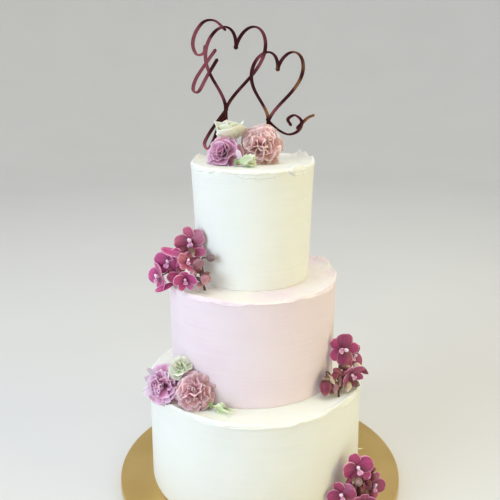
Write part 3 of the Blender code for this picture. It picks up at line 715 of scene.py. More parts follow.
def whorl_tree() -> GeometryTree:
    """Builds the tree that sets petals round a flower's heart, the inner ones upright.

    Returns:
        The tree.
    """
    tree = GeometryTree("petal_whorl", (
        ("Petals", "Collection"), ("Kinds", "Int"), ("Count", "Int"), ("Inner Tilt", "Float"),
        ("Outer Tilt", "Float"), ("Tilt Power", "Float"), ("Scatter", "Float"), ("Twist", "Float"),
        ("Inner Scale", "Float"), ("Spread", "Float"), ("Drop", "Float"), ("Seed", "Int"),
        ("Material", "Material")))
    given = tree.given

    def drawn(low: float, high: float, step: float) -> bpy.types.NodeSocket:
        """Draws a number for each petal, from the seed moved on by a step."""
        return tree.random(low, high, tree.math("ADD", given["Seed"], step))

    index = tree.add("GeometryNodeInputIndex").outputs[0]
    share = tree.math("DIVIDE", index, tree.math("SUBTRACT", given["Count"], 1.0))
    turn = tree.math("MULTIPLY_ADD", index, GOLDEN_ANGLE, tree.random(-0.22, 0.22, given["Seed"]))
    lean = tree.math("SUBTRACT", given["Outer Tilt"], given["Inner Tilt"])
    bent = tree.math("POWER", share, given["Tilt Power"])
    tilt = tree.math("MULTIPLY_ADD", bent, lean, given["Inner Tilt"])
    tilt = tree.math("ADD", tilt, tree.math("MULTIPLY", given["Scatter"], drawn(-1.0, 1.0, 7.0)))
    growth = tree.math("SUBTRACT", 1.0, given["Inner Scale"])
    scale = tree.math("MULTIPLY_ADD", share, growth, given["Inner Scale"])
    scale = tree.math("MULTIPLY", scale, drawn(0.93, 1.05, 13.0))
    out = tree.math("MULTIPLY", given["Spread"], share)
    place = tree.combine(tree.math("MULTIPLY", out, tree.math("SINE", turn)),
                         tree.math("MULTIPLY", out, tree.math("MULTIPLY", tree.math("COSINE", turn), -1.0)),
                         tree.math("MULTIPLY", given["Drop"], tree.math("MULTIPLY", share, -1.0)))
    points = tree.add("GeometryNodePoints", {"Count": given["Count"], "Position": place}).outputs[0]
    pick = tree.math("MULTIPLY", share, tree.math("SUBTRACT", given["Kinds"], 1.0))
    pick = tree.math("ROUND", tree.math("ADD", pick, drawn(-0.7, 0.7, 19.0)))
    kinds = tree.add("GeometryNodeCollectionInfo", {"Collection": given["Petals"], "Separate Children": True,
                                                    "Reset Children": True}).outputs[0]
    rotation = tree.add("FunctionNodeEulerToRotation", {0: tree.combine(tilt, 0.0, turn)}).outputs[0]
    petals = tree.add("GeometryNodeInstanceOnPoints", {
        "Points": points, "Instance": kinds, "Pick Instance": True, "Instance Index": pick,
        "Rotation": rotation, "Scale": tree.combine(scale, scale, scale)}).outputs[0]
    twist = tree.math("MULTIPLY", given["Twist"], drawn(-1.0, 1.0, 37.0))
    turned = tree.add("GeometryNodeRotateInstances", {
        "Instances": petals, "Rotation": tree.combine(0.0, 0.0, twist), "Local Space": True}).outputs[0]
    tree.end(tree.add("GeometryNodeStoreNamedAttribute", {
        "Geometry": turned, "Name": "chance", "Value": drawn(0.0, 1.0, 29.0)},
        data_type="FLOAT", domain="INSTANCE").outputs[0])
    return tree


def stalk_tree() -> GeometryTree:
    """Builds the tree that skins stem paths with round stalks as thick as their points say.

    Returns:
        The tree.
    """
    tree = GeometryTree("round_stalks", (("Sides", "Int"), ("Material", "Material")))
    lines = tree.add("GeometryNodeMeshToCurve", {"Mesh": tree.given["Geometry"]}).outputs[0]
    thick = tree.add("GeometryNodeInputNamedAttribute", {"Name": "thick"}, data_type="FLOAT").outputs[0]
    ring = tree.add("GeometryNodeCurvePrimitiveCircle", {"Resolution": tree.given["Sides"],
                                                         "Radius": 1.0}).outputs[0]
    tree.end(tree.add("GeometryNodeCurveToMesh", {"Curve": lines, "Profile Curve": ring, "Scale": thick,
                                                  "Fill Caps": True}).outputs[0])
    return tree


class Workshop:
    """What every sub-assembly shares: the finished materials and the trees."""

    def __init__(self) -> None:
        """Builds the Geometry Nodes trees, the effects and the materials."""
        self.whorl = whorl_tree()
        self.stalks = stalk_tree()
        self.materials = {}
        for finishes, effect in ((CREAMS, cream_effect()), (PETALS, petal_effect())):
            self.materials |= {finish.name: finish.material(effect) for finish in finishes}
        self.materials |= {finish.name: finish.material() for finish in (FoilFinish(), MirrorFinish())}

    def piece(self, name: str, form: MeshPile | bpy.types.Mesh, materials: Sequence[str], slot: str,
              *nodes: str) -> None:
        """Makes a finished piece at the origin that rides on the cake.

        Args:
            name: The piece's name.
            form: Its skins or its mesh, in the cake's frame.
            materials: The names of its materials, in the order of the mesh's material numbers.
            slot: The record's material slot; not used.
            nodes: The solids it replaces.
        """
        mesh = form.to_mesh(name) if isinstance(form, MeshPile) else form
        mesh.name = name
        for material in materials:
            mesh.materials.append(self.materials[material])
        item = put(name, mesh)
        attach(item, "root")
        if nodes:
            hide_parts(*nodes)
        LOG.info("%s: %d faces for %s", name, len(mesh.polygons), ", ".join(nodes) or "no solid")


class Cream(StrEnum):
    """The two buttercreams."""

    WHITE = "white_buttercream_scraped"
    BLUSH = "blush_buttercream_scraped"


class Skin(StrEnum):
    """The skins of the flowers, by their materials' names."""

    PETAL = "orchid_petal"
    WINE_PETAL = "orchid_petal_wine"
    DUSK_PETAL = "orchid_petal_dusk"
    LIP = "orchid_lip"
    COLUMN = "orchid_column"
    GREY_BUD = "orchid_bud_grey"
    PINK_BUD = "orchid_bud_pink"
    DARK_BUD = "orchid_bud_dark"
    BRACT = "orchid_bract"
    CREAM_BRACT = "orchid_cream_bract"
    STALK = "orchid_stalk"
    GREEN_BUD = "green_bud_skin"
    CALYX = "calyx_green"
    MAUVE = "mauve_petal"
    CURLED_MAUVE = "curled_mauve_petal"
    DUSK = "dusk_petal"
    PINK = "pink_petal"
    LEAFY = "leafy_petal"
    GUARD = "pale_guard_petal"
    WHITE = "white_petal"


# The buttercreams: their colours on the sides, in the shaded lines and on the ledge, where it is painted warm
# top light.
CREAMS = (
    CreamFinish(Cream.WHITE, srgb(249, 249, 243), srgb(245, 244, 236), srgb(246, 248, 236)),
    CreamFinish(Cream.BLUSH, srgb(247, 230, 236), srgb(243, 223, 231), srgb(249, 243, 233)),
)

# The skins: their colours from heart to rim, how far the heart reaches, the rim's width, the veins.
PETALS = tuple(PetalFinish(name, *(srgb(*colour) for colour in colours), *rest) for name, colours, rest in (
    (Skin.PETAL, ((128, 14, 78), (200, 72, 140), (248, 190, 220)), (0.72, 0.24, 0.50, 0.3)),
    (Skin.WINE_PETAL, ((100, 14, 58), (178, 62, 116), (240, 172, 204)), (0.72, 0.20, 0.50, 0.3)),
    (Skin.DUSK_PETAL, ((132, 24, 76), (206, 104, 138), (248, 206, 218)), (0.78, 0.26, 0.55, 0.3)),
    (Skin.LIP, ((168, 36, 116), (232, 150, 200), (255, 232, 246)), (0.45, 0.35, 0.25, 0.4)),
    (Skin.COLUMN, ((226, 130, 196), (250, 206, 236), (255, 232, 248)), (0.3, 0.3, 0.05, 0.4)),
    (Skin.GREY_BUD, ((92, 60, 62), (140, 108, 110), (168, 134, 136)), (0.5, 0.3, 0.4)),
    (Skin.PINK_BUD, ((104, 44, 58), (184, 128, 136), (210, 168, 172)), (0.45, 0.3, 0.5)),
    (Skin.DARK_BUD, ((78, 24, 34), (134, 40, 70), (160, 92, 100)), (0.45, 0.3, 0.5)),
    (Skin.BRACT, ((84, 40, 36), (128, 84, 74), (196, 168, 140)), (0.6, 0.3, 0.5)),
    (Skin.CREAM_BRACT, ((150, 120, 96), (206, 188, 160), (232, 220, 196)), (0.5, 0.3, 0.4)),
    (Skin.STALK, ((50, 24, 22), (88, 48, 42), (100, 60, 50)), (0.5, 0.1, 0.4)),
    (Skin.GREEN_BUD, ((184, 210, 128), (222, 233, 184), (248, 248, 230)), (0.60, 0.5, 0.5)),
    (Skin.CALYX, ((120, 146, 84), (150, 172, 112), (176, 190, 140)), (0.4, 0.2, 0.4)),
    (Skin.MAUVE, ((188, 106, 150), (238, 180, 214), (249, 216, 236)), ()),
    # The curled mauve heart colour is painted shade, dark as the hollows deep among its petals.
    (Skin.CURLED_MAUVE, ((134, 72, 100), (214, 154, 188), (238, 200, 220)), ()),
    (Skin.DUSK, ((184, 112, 126), (238, 192, 200), (248, 216, 222)), ()),
    (Skin.PINK, ((188, 114, 118), (244, 202, 200), (251, 224, 220)), ()),
    (Skin.LEAFY, ((172, 220, 150), (234, 242, 208), (252, 247, 232)), (0.80, 0.55, 0.06)),
    (Skin.GUARD, ((206, 170, 194), (232, 212, 226), (248, 240, 242)), (0.50, 0.30, 0.20)),
    (Skin.WHITE, ((222, 230, 186), (243, 243, 220), (252, 252, 242)), (0.35, 0.12, 0.08)),
))


@dataclass(frozen=True)
class Fold:
    """A flap of cream scraped over a rim: its angle and width in degrees, its drop and stand-out in mm."""

    angle: float
    width: float
    drop: float
    proud: float


@dataclass(frozen=True)
class Tear:
    """A stretch of rim left in rough peaks: its angle and width in degrees, its rise in mm."""

    angle: float
    width: float
    rise: float


@dataclass
class ButterTier:
    """One frosted tier, made fine over its solid: scraped sides, torn rim and smooth ledge."""

    node: str
    cream: Cream
    slot: str
    seed: int
    columns: int
    folds: tuple[Fold, ...]
    tears: tuple[Tear, ...]
    next_node: str = ""
    solid_sides: int = 72
    levels: int = 7
    rim_depth: float = 14.0 * MM
    torn: float = 1.25 * MM
    line_depth: float = 0.035 * MM
    sway_depth: float = 0.16 * MM
    drag_depth: float = 0.06 * MM
    rim_sway: float = 0.45 * MM
    crest_back: int = 12
    ledge_step: float = 2.0 * MM
    arc_depth: float = 0.12 * MM
    broad_depth: float = 0.22 * MM
    lap_inset: float = 5.5 * MM
    lap_sway: float = 2.5 * MM
    lap_width: float = 1.3 * MM
    lap_height: float = 0.7 * MM
    crumb_reach: float = 4.4 * MM
    bead_height: float = 1.5 * MM
    bead_width: float = 1.9 * MM
    hidden_reach: float = 9.0 * MM

    def noise(self, step: int, columns: int, turn: np.ndarray, rows: int = 1,
              row_at: np.ndarray | float = 0.0) -> np.ndarray:
        """Reads the tier's own noise, which closes on itself round it."""
        return lattice(self.seed + step, rows, columns, row_at * np.ones_like(turn), turn)

    def solid_points(self, node: str) -> np.ndarray:
        """Reads a solid's corners from the frame.

        Args:
            node: The solid's node.

        Returns:
            Its corners, each once.
        """
        mesh = frame["nodes"][node].data
        flat = np.empty(len(mesh.vertices) * 3, np.float32)
        mesh.vertices.foreach_get("co", flat)
        return np.unique(np.round(flat.reshape(-1, 3).astype(float), 6), axis=0)

    def foot(self, node: str) -> tuple[float, float]:
        """Reads where a tier stands.

        Args:
            node: The tier's node.

        Returns:
            Its axis across the cake and the radius of its foot.
        """
        points = self.solid_points(node)
        base = points[points[:, 2] < points[:, 2].min() + 0.01 * MM]
        low, high = base[:, 0].min(), base[:, 0].max()
        return 0.5 * (low + high), 0.5 * (high - low)

    def solid_profile(self, axis_x: float) -> np.ndarray:
        """Reads the solid's outline at each of its sides.

        Args:
            axis_x: Where the tier's axis stands across the cake.

        Returns:
            Radius and height for each side and level, from the foot over the rim to the ledge.
        """
        points = self.solid_points(self.node)
        away = np.hypot(points[:, 0] - axis_x, points[:, 1])
        turn = np.arctan2(points[:, 1], points[:, 0] - axis_x)
        side = np.round(turn / math.tau * self.solid_sides).astype(int) % self.solid_sides
        outer = away > away.max() - self.rim_depth
        profile = []
        for number in range(self.solid_sides):
            near = np.nonzero(outer & (side == number))[0]
            high = near[points[near, 2] > points[near, 2].max() - self.rim_depth / 2]
            ledge = high[np.argmin(away[high])]
            climb = near[near != ledge]
            order = [*climb[np.argsort(points[climb, 2])][:self.levels - 1], ledge]
            profile.append([(away[i], points[i, 2]) for i in order])
        return np.array(profile)

    def round_the_ring(self, values: np.ndarray) -> np.ndarray:
        """Runs smooth curves through the values of the solid's sides.

        Args:
            values: The values at each side.

        Returns:
            The values at each fine column.
        """
        at = np.arange(self.columns) * len(values) / self.columns
        i = np.floor(at).astype(int)
        return curve(*(values[(i + k) % len(values)] for k in (-1, 0, 1, 2)), (at - i)[:, None, None])

    def up_the_side(self, profile: np.ndarray) -> np.ndarray:
        """Fills each column's outline from the foot to the ledge, with its corners softened.

        Args:
            profile: Radius and height for each column and level.

        Returns:
            The same for each column and fine row.
        """
        rows = []
        for level, count in enumerate((5, 26, 40, 26, 8, 9)):
            share = np.arange(count) / count
            if level == 2:
                share = 1.0 - (1.0 - share) ** 1.7
            start, end = profile[:, level], profile[:, level + 1]
            rows.append(start[:, None] + (end - start)[:, None] * share[None, :, None])
        fine = np.concatenate([*rows, profile[:, -1:]], axis=1)
        for _ in range(4):
            fine[:, 1:-1] = 0.25 * fine[:, :-2] + 0.5 * fine[:, 1:-1] + 0.25 * fine[:, 2:]
        return fine

    def fold_out(self, turn: np.ndarray, below: np.ndarray) -> np.ndarray:
        """Gives how far the scraped flaps stand out, below the rim.

        Args:
            turn: The angle of each point.
            below: How far each point is below the ledge.

        Returns:
            The extra radius.
        """
        total = np.zeros_like(below)
        for number, fold in enumerate(self.folds):
            drop, proud = fold.drop * MM, fold.proud * MM
            away = degrees_off(turn, fold.angle)
            inside = 1.0 - smooth_step(0.72, 1.0, np.abs(away) / fold.width)
            ragged = 0.28 * self.noise(50 + number, 60, turn) + 0.10 * self.noise(80 + number, 210, turn)
            to_edge = drop * (1.0 - 0.6 * (away / fold.width) ** 2 + ragged) - below
            over = smooth_step(-0.35 * MM, 0.35 * MM, to_edge)
            lip = 0.80 * bell(to_edge - 0.5 * MM, 0.6 * MM) - 0.45 * bell(to_edge + 0.9 * MM, 0.7 * MM)
            crumbs = 0.30 * self.noise(170 + number, 220, turn, 12, below / (18.0 * MM))
            total += inside * proud * (over * (0.55 + 0.45 * below / drop + crumbs) + lip)
        return total

    def build(self, workshop: Workshop) -> None:
        """Builds the tier's piece.

        Args:
            workshop: What all pieces share.
        """
        axis_x, _ = self.foot(self.node)
        fine = self.up_the_side(self.round_the_ring(self.solid_profile(axis_x)))
        away, height = fine[..., 0], fine[..., 1]
        turn, order = grids(circle(self.columns), np.arange(fine.shape[1]))
        ledge_z = float(np.median(height[:, -1]))
        share = (height - height.min()) / (ledge_z - height.min())
        below = ledge_z - height
        side = 1.0 - smooth_step(-2.2 * MM, 0.4 * MM, -below)
        near_rim = side * bell(np.maximum(below, 0.0), 8.0 * MM)
        crest = bell(order - (fine.shape[1] - self.crest_back), 5.0)
        rough = (self.noise(3, 30, turn) + 0.5 * self.noise(4, 90, turn) + 0.25 * self.noise(5, 240, turn)
                 - 0.9 * np.abs(self.noise(11, 54, turn)))
        rough_out = self.noise(6, 34, turn) + 0.6 * self.noise(7, 100, turn) + 0.4 * self.noise(8, 260, turn)
        away = away + side * (self.line_depth * self.noise(0, 9, turn, 110, share)
                              + self.sway_depth * self.noise(1, 7, turn, 9, share)
                              + self.drag_depth * self.noise(2, 24, turn, 46, share)
                              + self.fold_out(turn, below))
        away += near_rim * self.rim_sway * self.noise(9, 44, turn, 60, share)
        away += crest * 0.70 * self.torn * rough_out
        height = height + crest * self.torn * (0.50 + rough)
        for number, tear in enumerate(self.tears):
            rise = crest * tear.rise * MM * bell(degrees_off(turn, tear.angle), tear.width)
            peaks = 1.0 - 1.8 * np.abs(self.noise(100 + number, 110, turn))
            height += rise * (0.66 + 0.34 * peaks)
            away += rise * 0.5 * self.noise(120 + number, 120, turn)
        rim = np.stack([axis_x + away * np.cos(turn), away * np.sin(turn), height], -1)
        skin = np.concatenate([rim, self.ledge(axis_x, fine[:, -1])], axis=1).transpose(1, 0, 2)
        pile = MeshPile()
        pile.add_rings(skin)
        workshop.piece(self.node + "_buttercream", pile, [self.cream], self.slot, self.node)

    def ledge(self, axis_x: float, rim: np.ndarray) -> np.ndarray:
        """Builds the level top, scraped in arcs, with a bead of cream where the next tier stands.

        Args:
            axis_x: Where the tier's axis stands across the cake.
            rim: Radius and height of the ledge's outer edge in each column.

        Returns:
            Points in columns and rows, from the outer edge to the middle.
        """
        edge = float(np.median(rim[:, 0]))
        steps = np.arange(1, int(edge / self.ledge_step) + 1)
        share = 1.0 - steps / (len(steps) + 1.0)
        if self.next_node:
            # Under the next tier, where nothing shows, only some rows are kept.
            next_x, next_radius = self.foot(self.next_node)
            share = share[(share * edge > next_radius - self.hidden_reach) | (steps % 8 == 0)]
        turn, share = grids(circle(self.columns), share)
        inward = (1.0 - share) * edge
        calm = smooth_step(0.0, 0.12, 1.0 - share) * smooth_step(0.05, 0.3, share)
        height = rim[:, 1:] + calm * (self.arc_depth * self.noise(20, 8, turn, 34, share)
                                      + self.broad_depth * self.noise(21, 11, turn, 7, share))
        lap = bell(inward - self.lap_inset - self.lap_sway * self.noise(23, 26, turn), self.lap_width)
        height = height + self.lap_height * lap * np.clip(0.35 + self.noise(24, 34, turn), 0.0, 1.0)
        for number, tear in enumerate(self.tears):
            crumbs = 0.45 + 0.55 * self.noise(140 + number, 200, turn, 60, share)
            band = bell(degrees_off(turn, tear.angle), tear.width) * np.exp(-(inward / self.crumb_reach) ** 4)
            height = height + 0.60 * tear.rise * MM * band * crumbs
        away = rim[:, :1] * share
        across, deep = axis_x + away * np.cos(turn), away * np.sin(turn)
        if self.next_node:
            gap = np.hypot(across - next_x, deep) - next_radius
            bead = self.bead_height * bell(gap - 0.9 * MM, self.bead_width)
            height = height + bead * (1.0 + 0.35 * self.noise(22, 70, turn))
            height = height - (gap < -4.0 * MM) * 0.4 * MM
        return np.stack([across, deep, height], -1)


@dataclass
class DrumBoard:
    """The round drum board: card wrapped in gold foil, pleated round its edge."""

    node: str = "cake_board"
    columns: int = 720
    corner: float = 1.4 * MM
    pleats: int = 150
    pleat_depth: float = 0.16 * MM
    tuck: float = 9.0 * MM
    ring_step: float = 2.0 * MM
    wave_depths: tuple[float, float] = (0.07 * MM, 0.10 * MM)
    sunk: float = 0.12 * MM

    def build(self, workshop: Workshop) -> None:
        """Builds the board's piece from its solid's box.

        Args:
            workshop: What all pieces share.
        """
        low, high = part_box(self.node)
        radius = 0.5 * (high.x - low.x)
        thick = high.z - low.z
        bend = [math.pi / 2 * k / 6 for k in range(7)]
        inner = radius - self.corner
        outline = [(inner * share, 0.0) for share in (0.2, 0.5, 0.8, 0.93)]
        outline += [(inner + self.corner * math.sin(a), self.corner * (1 - math.cos(a))) for a in bend]
        outline += [(radius, thick * share) for share in (0.25, 0.4, 0.5, 0.6, 0.75)]
        outline += [(inner + self.corner * math.cos(a), thick - self.corner * (1 - math.sin(a)))
                    for a in bend]
        outline += [(inner - self.ring_step * k, thick) for k in range(1, 40)]
        outline += [(inner * share, thick) for share in (0.5, 0.3, 0.1)]
        away, turn = grids([point[0] for point in outline], circle(self.columns))
        level, _ = grids([point[1] for point in outline], circle(self.columns))
        up = level / thick
        ridges = 0.5 + 0.5 * np.cos(self.pleats * turn + 2.0 * lattice(3, 4, 40, up, turn))
        random_depth = 0.5 + 0.5 * lattice(5, 4, 170, up, turn)
        side = smooth_step(inner - self.tuck, radius, away) * (1.0 - smooth_step(0.80, 1.0, up))
        away = away - side * self.pleat_depth * ridges * random_depth
        share = away / radius
        waves = [lattice(*size, share, turn) for size in ((8, 26, 30), (9, 9, 12))]
        lift = waves[0] * self.wave_depths[0] + waves[1] * self.wave_depths[1] - self.sunk
        level = level + smooth_step(0.99, 1.0, up) * lift
        pile = MeshPile()
        pile.add_rings(np.stack([away * np.cos(turn), away * np.sin(turn), level], -1))
        workshop.piece("cake_board_foil", pile, [FoilFinish.name], "gold_foil", self.node)


@dataclass(frozen=True)
class Bloom:
    """One open orchid: where it is, how it faces, its size, how cupped it is and its own skin, if any."""

    centre: tuple[float, float, float]
    azimuth: float
    elevation: float
    roll: float
    radius: float
    cup: float
    tone: Skin | None = None

    @property
    def place(self) -> Matrix:
        """The matrix from the bloom's own frame to the cake's."""
        return facing(self.centre, self.azimuth, self.elevation, self.roll)


@dataclass(frozen=True)
class Bud:
    """One closed bud: where it is, where its tip points, its size and its skin."""

    centre: tuple[float, float, float]
    azimuth: float
    elevation: float
    length: float
    radius: float
    skin: Skin

    @property
    def place(self) -> Matrix:
        """The matrix from the bud's own frame to the cake's."""
        return facing(self.centre, self.azimuth, self.elevation)


class Organ(Enum):
    """The parts of an orchid, in the order of its materials."""

    PETAL = 0
    LIP = 1
    COLUMN = 2


@dataclass
class OrchidMaker:
    """Builds orchids: three sepals, two broad petals, a lip with side lobes, and the column."""

    hub_length: float = 6.0 * MM
    hub_radius: float = 1.6 * MM
    petal_thick: float = 0.9 * MM
    rows: int = 17
    columns: int = 15
    lobe_rows: int = 11
    lobe_columns: int = 9
    column_rows: int = 10
    column_sides: int = 14
    hub_sides: int = 12

    def tepal(self, size: float, angle: float, reach: tuple[float, float, float], level: float,
              draw: random.Random, dish: float) -> np.ndarray:
        """Shapes one petal or sepal as a grid of points, base first.

        Args:
            size: The bloom's radius.
            angle: The way it points, in degrees from the bloom's right.
            reach: Its middle's distance, half length and half width, as shares of the size.
            level: How far in front it lies, as a share of the size.
            draw: The bloom's own random numbers.
            dish: How cupped the bloom is.

        Returns:
            The grid, as rows, columns and 3 coordinates.
        """
        distance, long_half, wide_half = reach
        share = np.linspace(0.0, 1.0, self.rows)
        start, end = 0.05, distance + long_half
        run = start + (end - start) * (1.0 - np.cos(math.pi * share)) / 2.0
        inside = np.clip((run - distance) / long_half, -1.0, 1.0)
        wide = wide_half * np.sqrt(np.maximum(1.0 - np.abs(inside) ** 2.3, 0.0)) ** 0.95
        claw = 0.10 + 0.30 * wide_half * smooth_step(0.05, distance, run)
        wide = np.maximum(wide, np.where(run < distance, claw, 0.02))
        r, u = grids(run, np.linspace(-1.0, 1.0, self.columns))
        across = u * wide[:, None]
        turn = math.radians(angle)
        twist = draw.uniform(-0.22, 0.22)
        bend = draw.uniform(-0.08, 0.20)
        wave = draw.uniform(0.0, math.tau)
        x = r * math.cos(turn) - across * math.sin(turn)
        y = r * math.sin(turn) + across * math.cos(turn)
        away = np.hypot(x, y)
        z = level + dish * away ** 2 + 0.04 * np.cos(2 * np.arctan2(y, x)) * np.minimum(away, 1.0)
        z += -0.11 * u ** 2 * wide[:, None] / 0.5 - 0.05 * share[:, None] ** 3 + bend * share[:, None] ** 2
        z += 0.035 * np.sin(3.4 * u + wave) * share[:, None] ** 1.5 + twist * u * wide[:, None]
        z += 0.05 * bell(u, 0.22) * (1.0 - share[:, None]) * share[:, None]
        return np.stack([x, y, z], -1) * size

    def loose_petals(self, pile: MeshPile, petals: Sequence[tuple], seed: int, skins: Sequence[str]) -> None:
        """Adds single petals to a pile.

        Args:
            pile: The mesh they go to.
            petals: Each one's base, azimuth, elevation, roll, length, half width and material.
            seed: Fixes their random numbers.
            skins: The pile's materials in order.
        """
        for number, (centre, azimuth, elevation, roll, length, width, skin) in enumerate(petals):
            draw = random.Random(seed + number)
            grid = self.tepal(length * MM, 90.0, (0.53, 0.46, width / length), 0.0, draw, 0.3)
            place = facing(centre, azimuth, elevation, roll)
            pile.add_sheet(grid, self.petal_thick, skins.index(skin), draw.random(), place)

    def lobe(self, size: float, path: Sequence[tuple[float, float]], widths: Sequence[float],
             bow: float) -> np.ndarray:
        """Shapes a lip lobe along a path in the bloom's upright middle plane.

        Args:
            size: The bloom's radius.
            path: Up and forward places of the lobe's middle, as shares of the size.
            widths: Its half width at each place.
            bow: How far its sides curl forward, as a share of its width.

        Returns:
            The grid, as rows, columns and 3 coordinates.
        """
        knots = np.linspace(0.0, 1.0, len(path))
        share = np.linspace(0.0, 1.0, self.lobe_rows)
        up, out, wide = (np.interp(share, knots, values) for values in (*zip(*path), widths))
        y, u = grids(up, np.linspace(-1.0, 1.0, self.lobe_columns))
        x = -u * wide[:, None]
        z = out[:, None] + bow * wide[:, None] * u ** 2
        return np.stack([x, y, z], -1) * size

    def column(self, size: float) -> np.ndarray:
        """Shapes the column: a blunt hooded post that leans forward over the lip.

        Args:
            size: The bloom's radius.

        Returns:
            Its rings of points.
        """
        share = np.linspace(0.0, 1.0, self.column_rows)
        radius = 0.115 * np.sqrt(np.maximum(1.0 - ((share - 0.62) / 0.62) ** 2 * 0.75, 0.02))
        radius[-2:] = 0.08, 0.03
        turn = circle(self.column_sides)
        x = radius[:, None] * np.cos(turn)
        y = radius[:, None] * np.sin(turn) * 1.1 + 0.02 + 0.07 * share[:, None]
        z = 0.30 * share[:, None] + 0.02 * np.sin(turn)
        return np.stack([x, y, z], -1) * size

    def build(self, node: str, bloom: Bloom, workshop: Workshop, seed: int, tone: Skin) -> None:
        """Builds one bloom's piece.

        Args:
            node: The solid it replaces.
            bloom: The orchid.
            workshop: What all pieces share.
            seed: Fixes its random numbers.
            tone: Its petals' skin.
        """
        draw = random.Random(seed)
        size = bloom.radius * MM
        pile = MeshPile()
        sepal = (0.49, 0.42, 0.38)
        low_sepal = (0.51, 0.44, 0.35)
        petal = (0.53, 0.46, 0.52)
        for angle, reach, level in ((90, sepal, -0.07), (-57, low_sepal, -0.09), (-123, low_sepal, -0.08),
                                    (6, petal, 0.0), (174, petal, 0.01)):
            turn = angle + draw.uniform(-4.0, 4.0)
            grid = self.tepal(size, turn, reach, level, draw, bloom.cup)
            pile.add_sheet(grid, self.petal_thick, Organ.PETAL.value, draw.random(), bloom.place)
        tongue = self.lobe(size, ((0.0, 0.06), (-0.10, 0.17), (-0.20, 0.25), (-0.32, 0.27), (-0.40, 0.22)),
                           (0.05, 0.10, 0.18, 0.16, 0.02), 0.45)
        pile.add_sheet(tongue, 0.7 * self.petal_thick, Organ.LIP.value, draw.random(), bloom.place)
        for side in (-1, 1):
            wing = self.lobe(size, ((0.0, 0.05), (-0.03, 0.14), (-0.02, 0.22), (0.03, 0.27)),
                             (0.04, 0.11, 0.13, 0.04), 0.2)
            turned = bloom.place @ Matrix.Rotation(math.radians(side * 62.0), 4, "Z")
            pile.add_sheet(wing, 0.6 * self.petal_thick, Organ.LIP.value, draw.random(), turned)
        pile.add_rings(self.column(size), Organ.COLUMN.value, draw.random(), bloom.place)
        hub = [(self.hub_radius, -self.hub_length), (0.08 * size, -0.6 * self.hub_length),
               (0.13 * size, -0.2 * self.hub_length), (0.10 * size, 0.03 * size)]
        pile.add_rings(lathe(hub, self.hub_sides), Organ.PETAL.value, 0.3, bloom.place)
        workshop.piece(node + "_flower", pile, [tone, Skin.LIP, Skin.COLUMN], "orchid_petals", node)


@dataclass
class BudMaker:
    """Builds closed buds: a ribbed spindle wrapped in sepals that meet at the tip."""

    rows: int = 22
    columns: int = 24
    sepals: int = 3
    twist: float = 0.5
    profile: tuple[tuple[float, float], ...] = (
        (0.0, 0.2), (0.05, 0.36), (0.2, 0.80), (0.48, 1.0), (0.75, 0.74), (0.92, 0.36), (1.0, 0.05))

    def shape(self, pile: MeshPile, bud: Bud, seed: int, slot: int = 0) -> None:
        """Adds one bud to a pile.

        Args:
            pile: The mesh it goes to.
            bud: The bud.
            seed: Fixes its random numbers.
            slot: The number of its material.
        """
        draw = random.Random(seed)
        share, turn = grids(np.linspace(0.0, 1.0, self.rows), circle(self.columns))
        outline = np.interp(share, *zip(*self.profile))
        phase = draw.uniform(0.0, math.tau)
        overlap = np.abs(np.sin(0.5 * self.sepals * (turn - self.twist * share) + phase))
        ribs = 0.82 + 0.18 * overlap ** 0.6
        radius = bud.radius * MM * outline * ribs
        z = (share - 0.5) * bud.length * MM
        bend = 0.10 * bud.radius * MM * np.sin(math.pi * share)
        rings = np.stack([radius * np.cos(turn) + bend, radius * np.sin(turn), z], -1)
        pile.add_rings(rings, slot, draw.random(), bud.place)

    def build(self, node: str, bud: Bud, workshop: Workshop, seed: int) -> None:
        """Builds one bud's piece.

        Args:
            node: The solid it replaces.
            bud: The bud.
            workshop: What all pieces share.
            seed: Fixes its random numbers.
        """
        pile = MeshPile()
        self.shape(pile, bud, seed)
        workshop.piece(node + "_sepals", pile, [bud.skin], "orchid_buds", node)


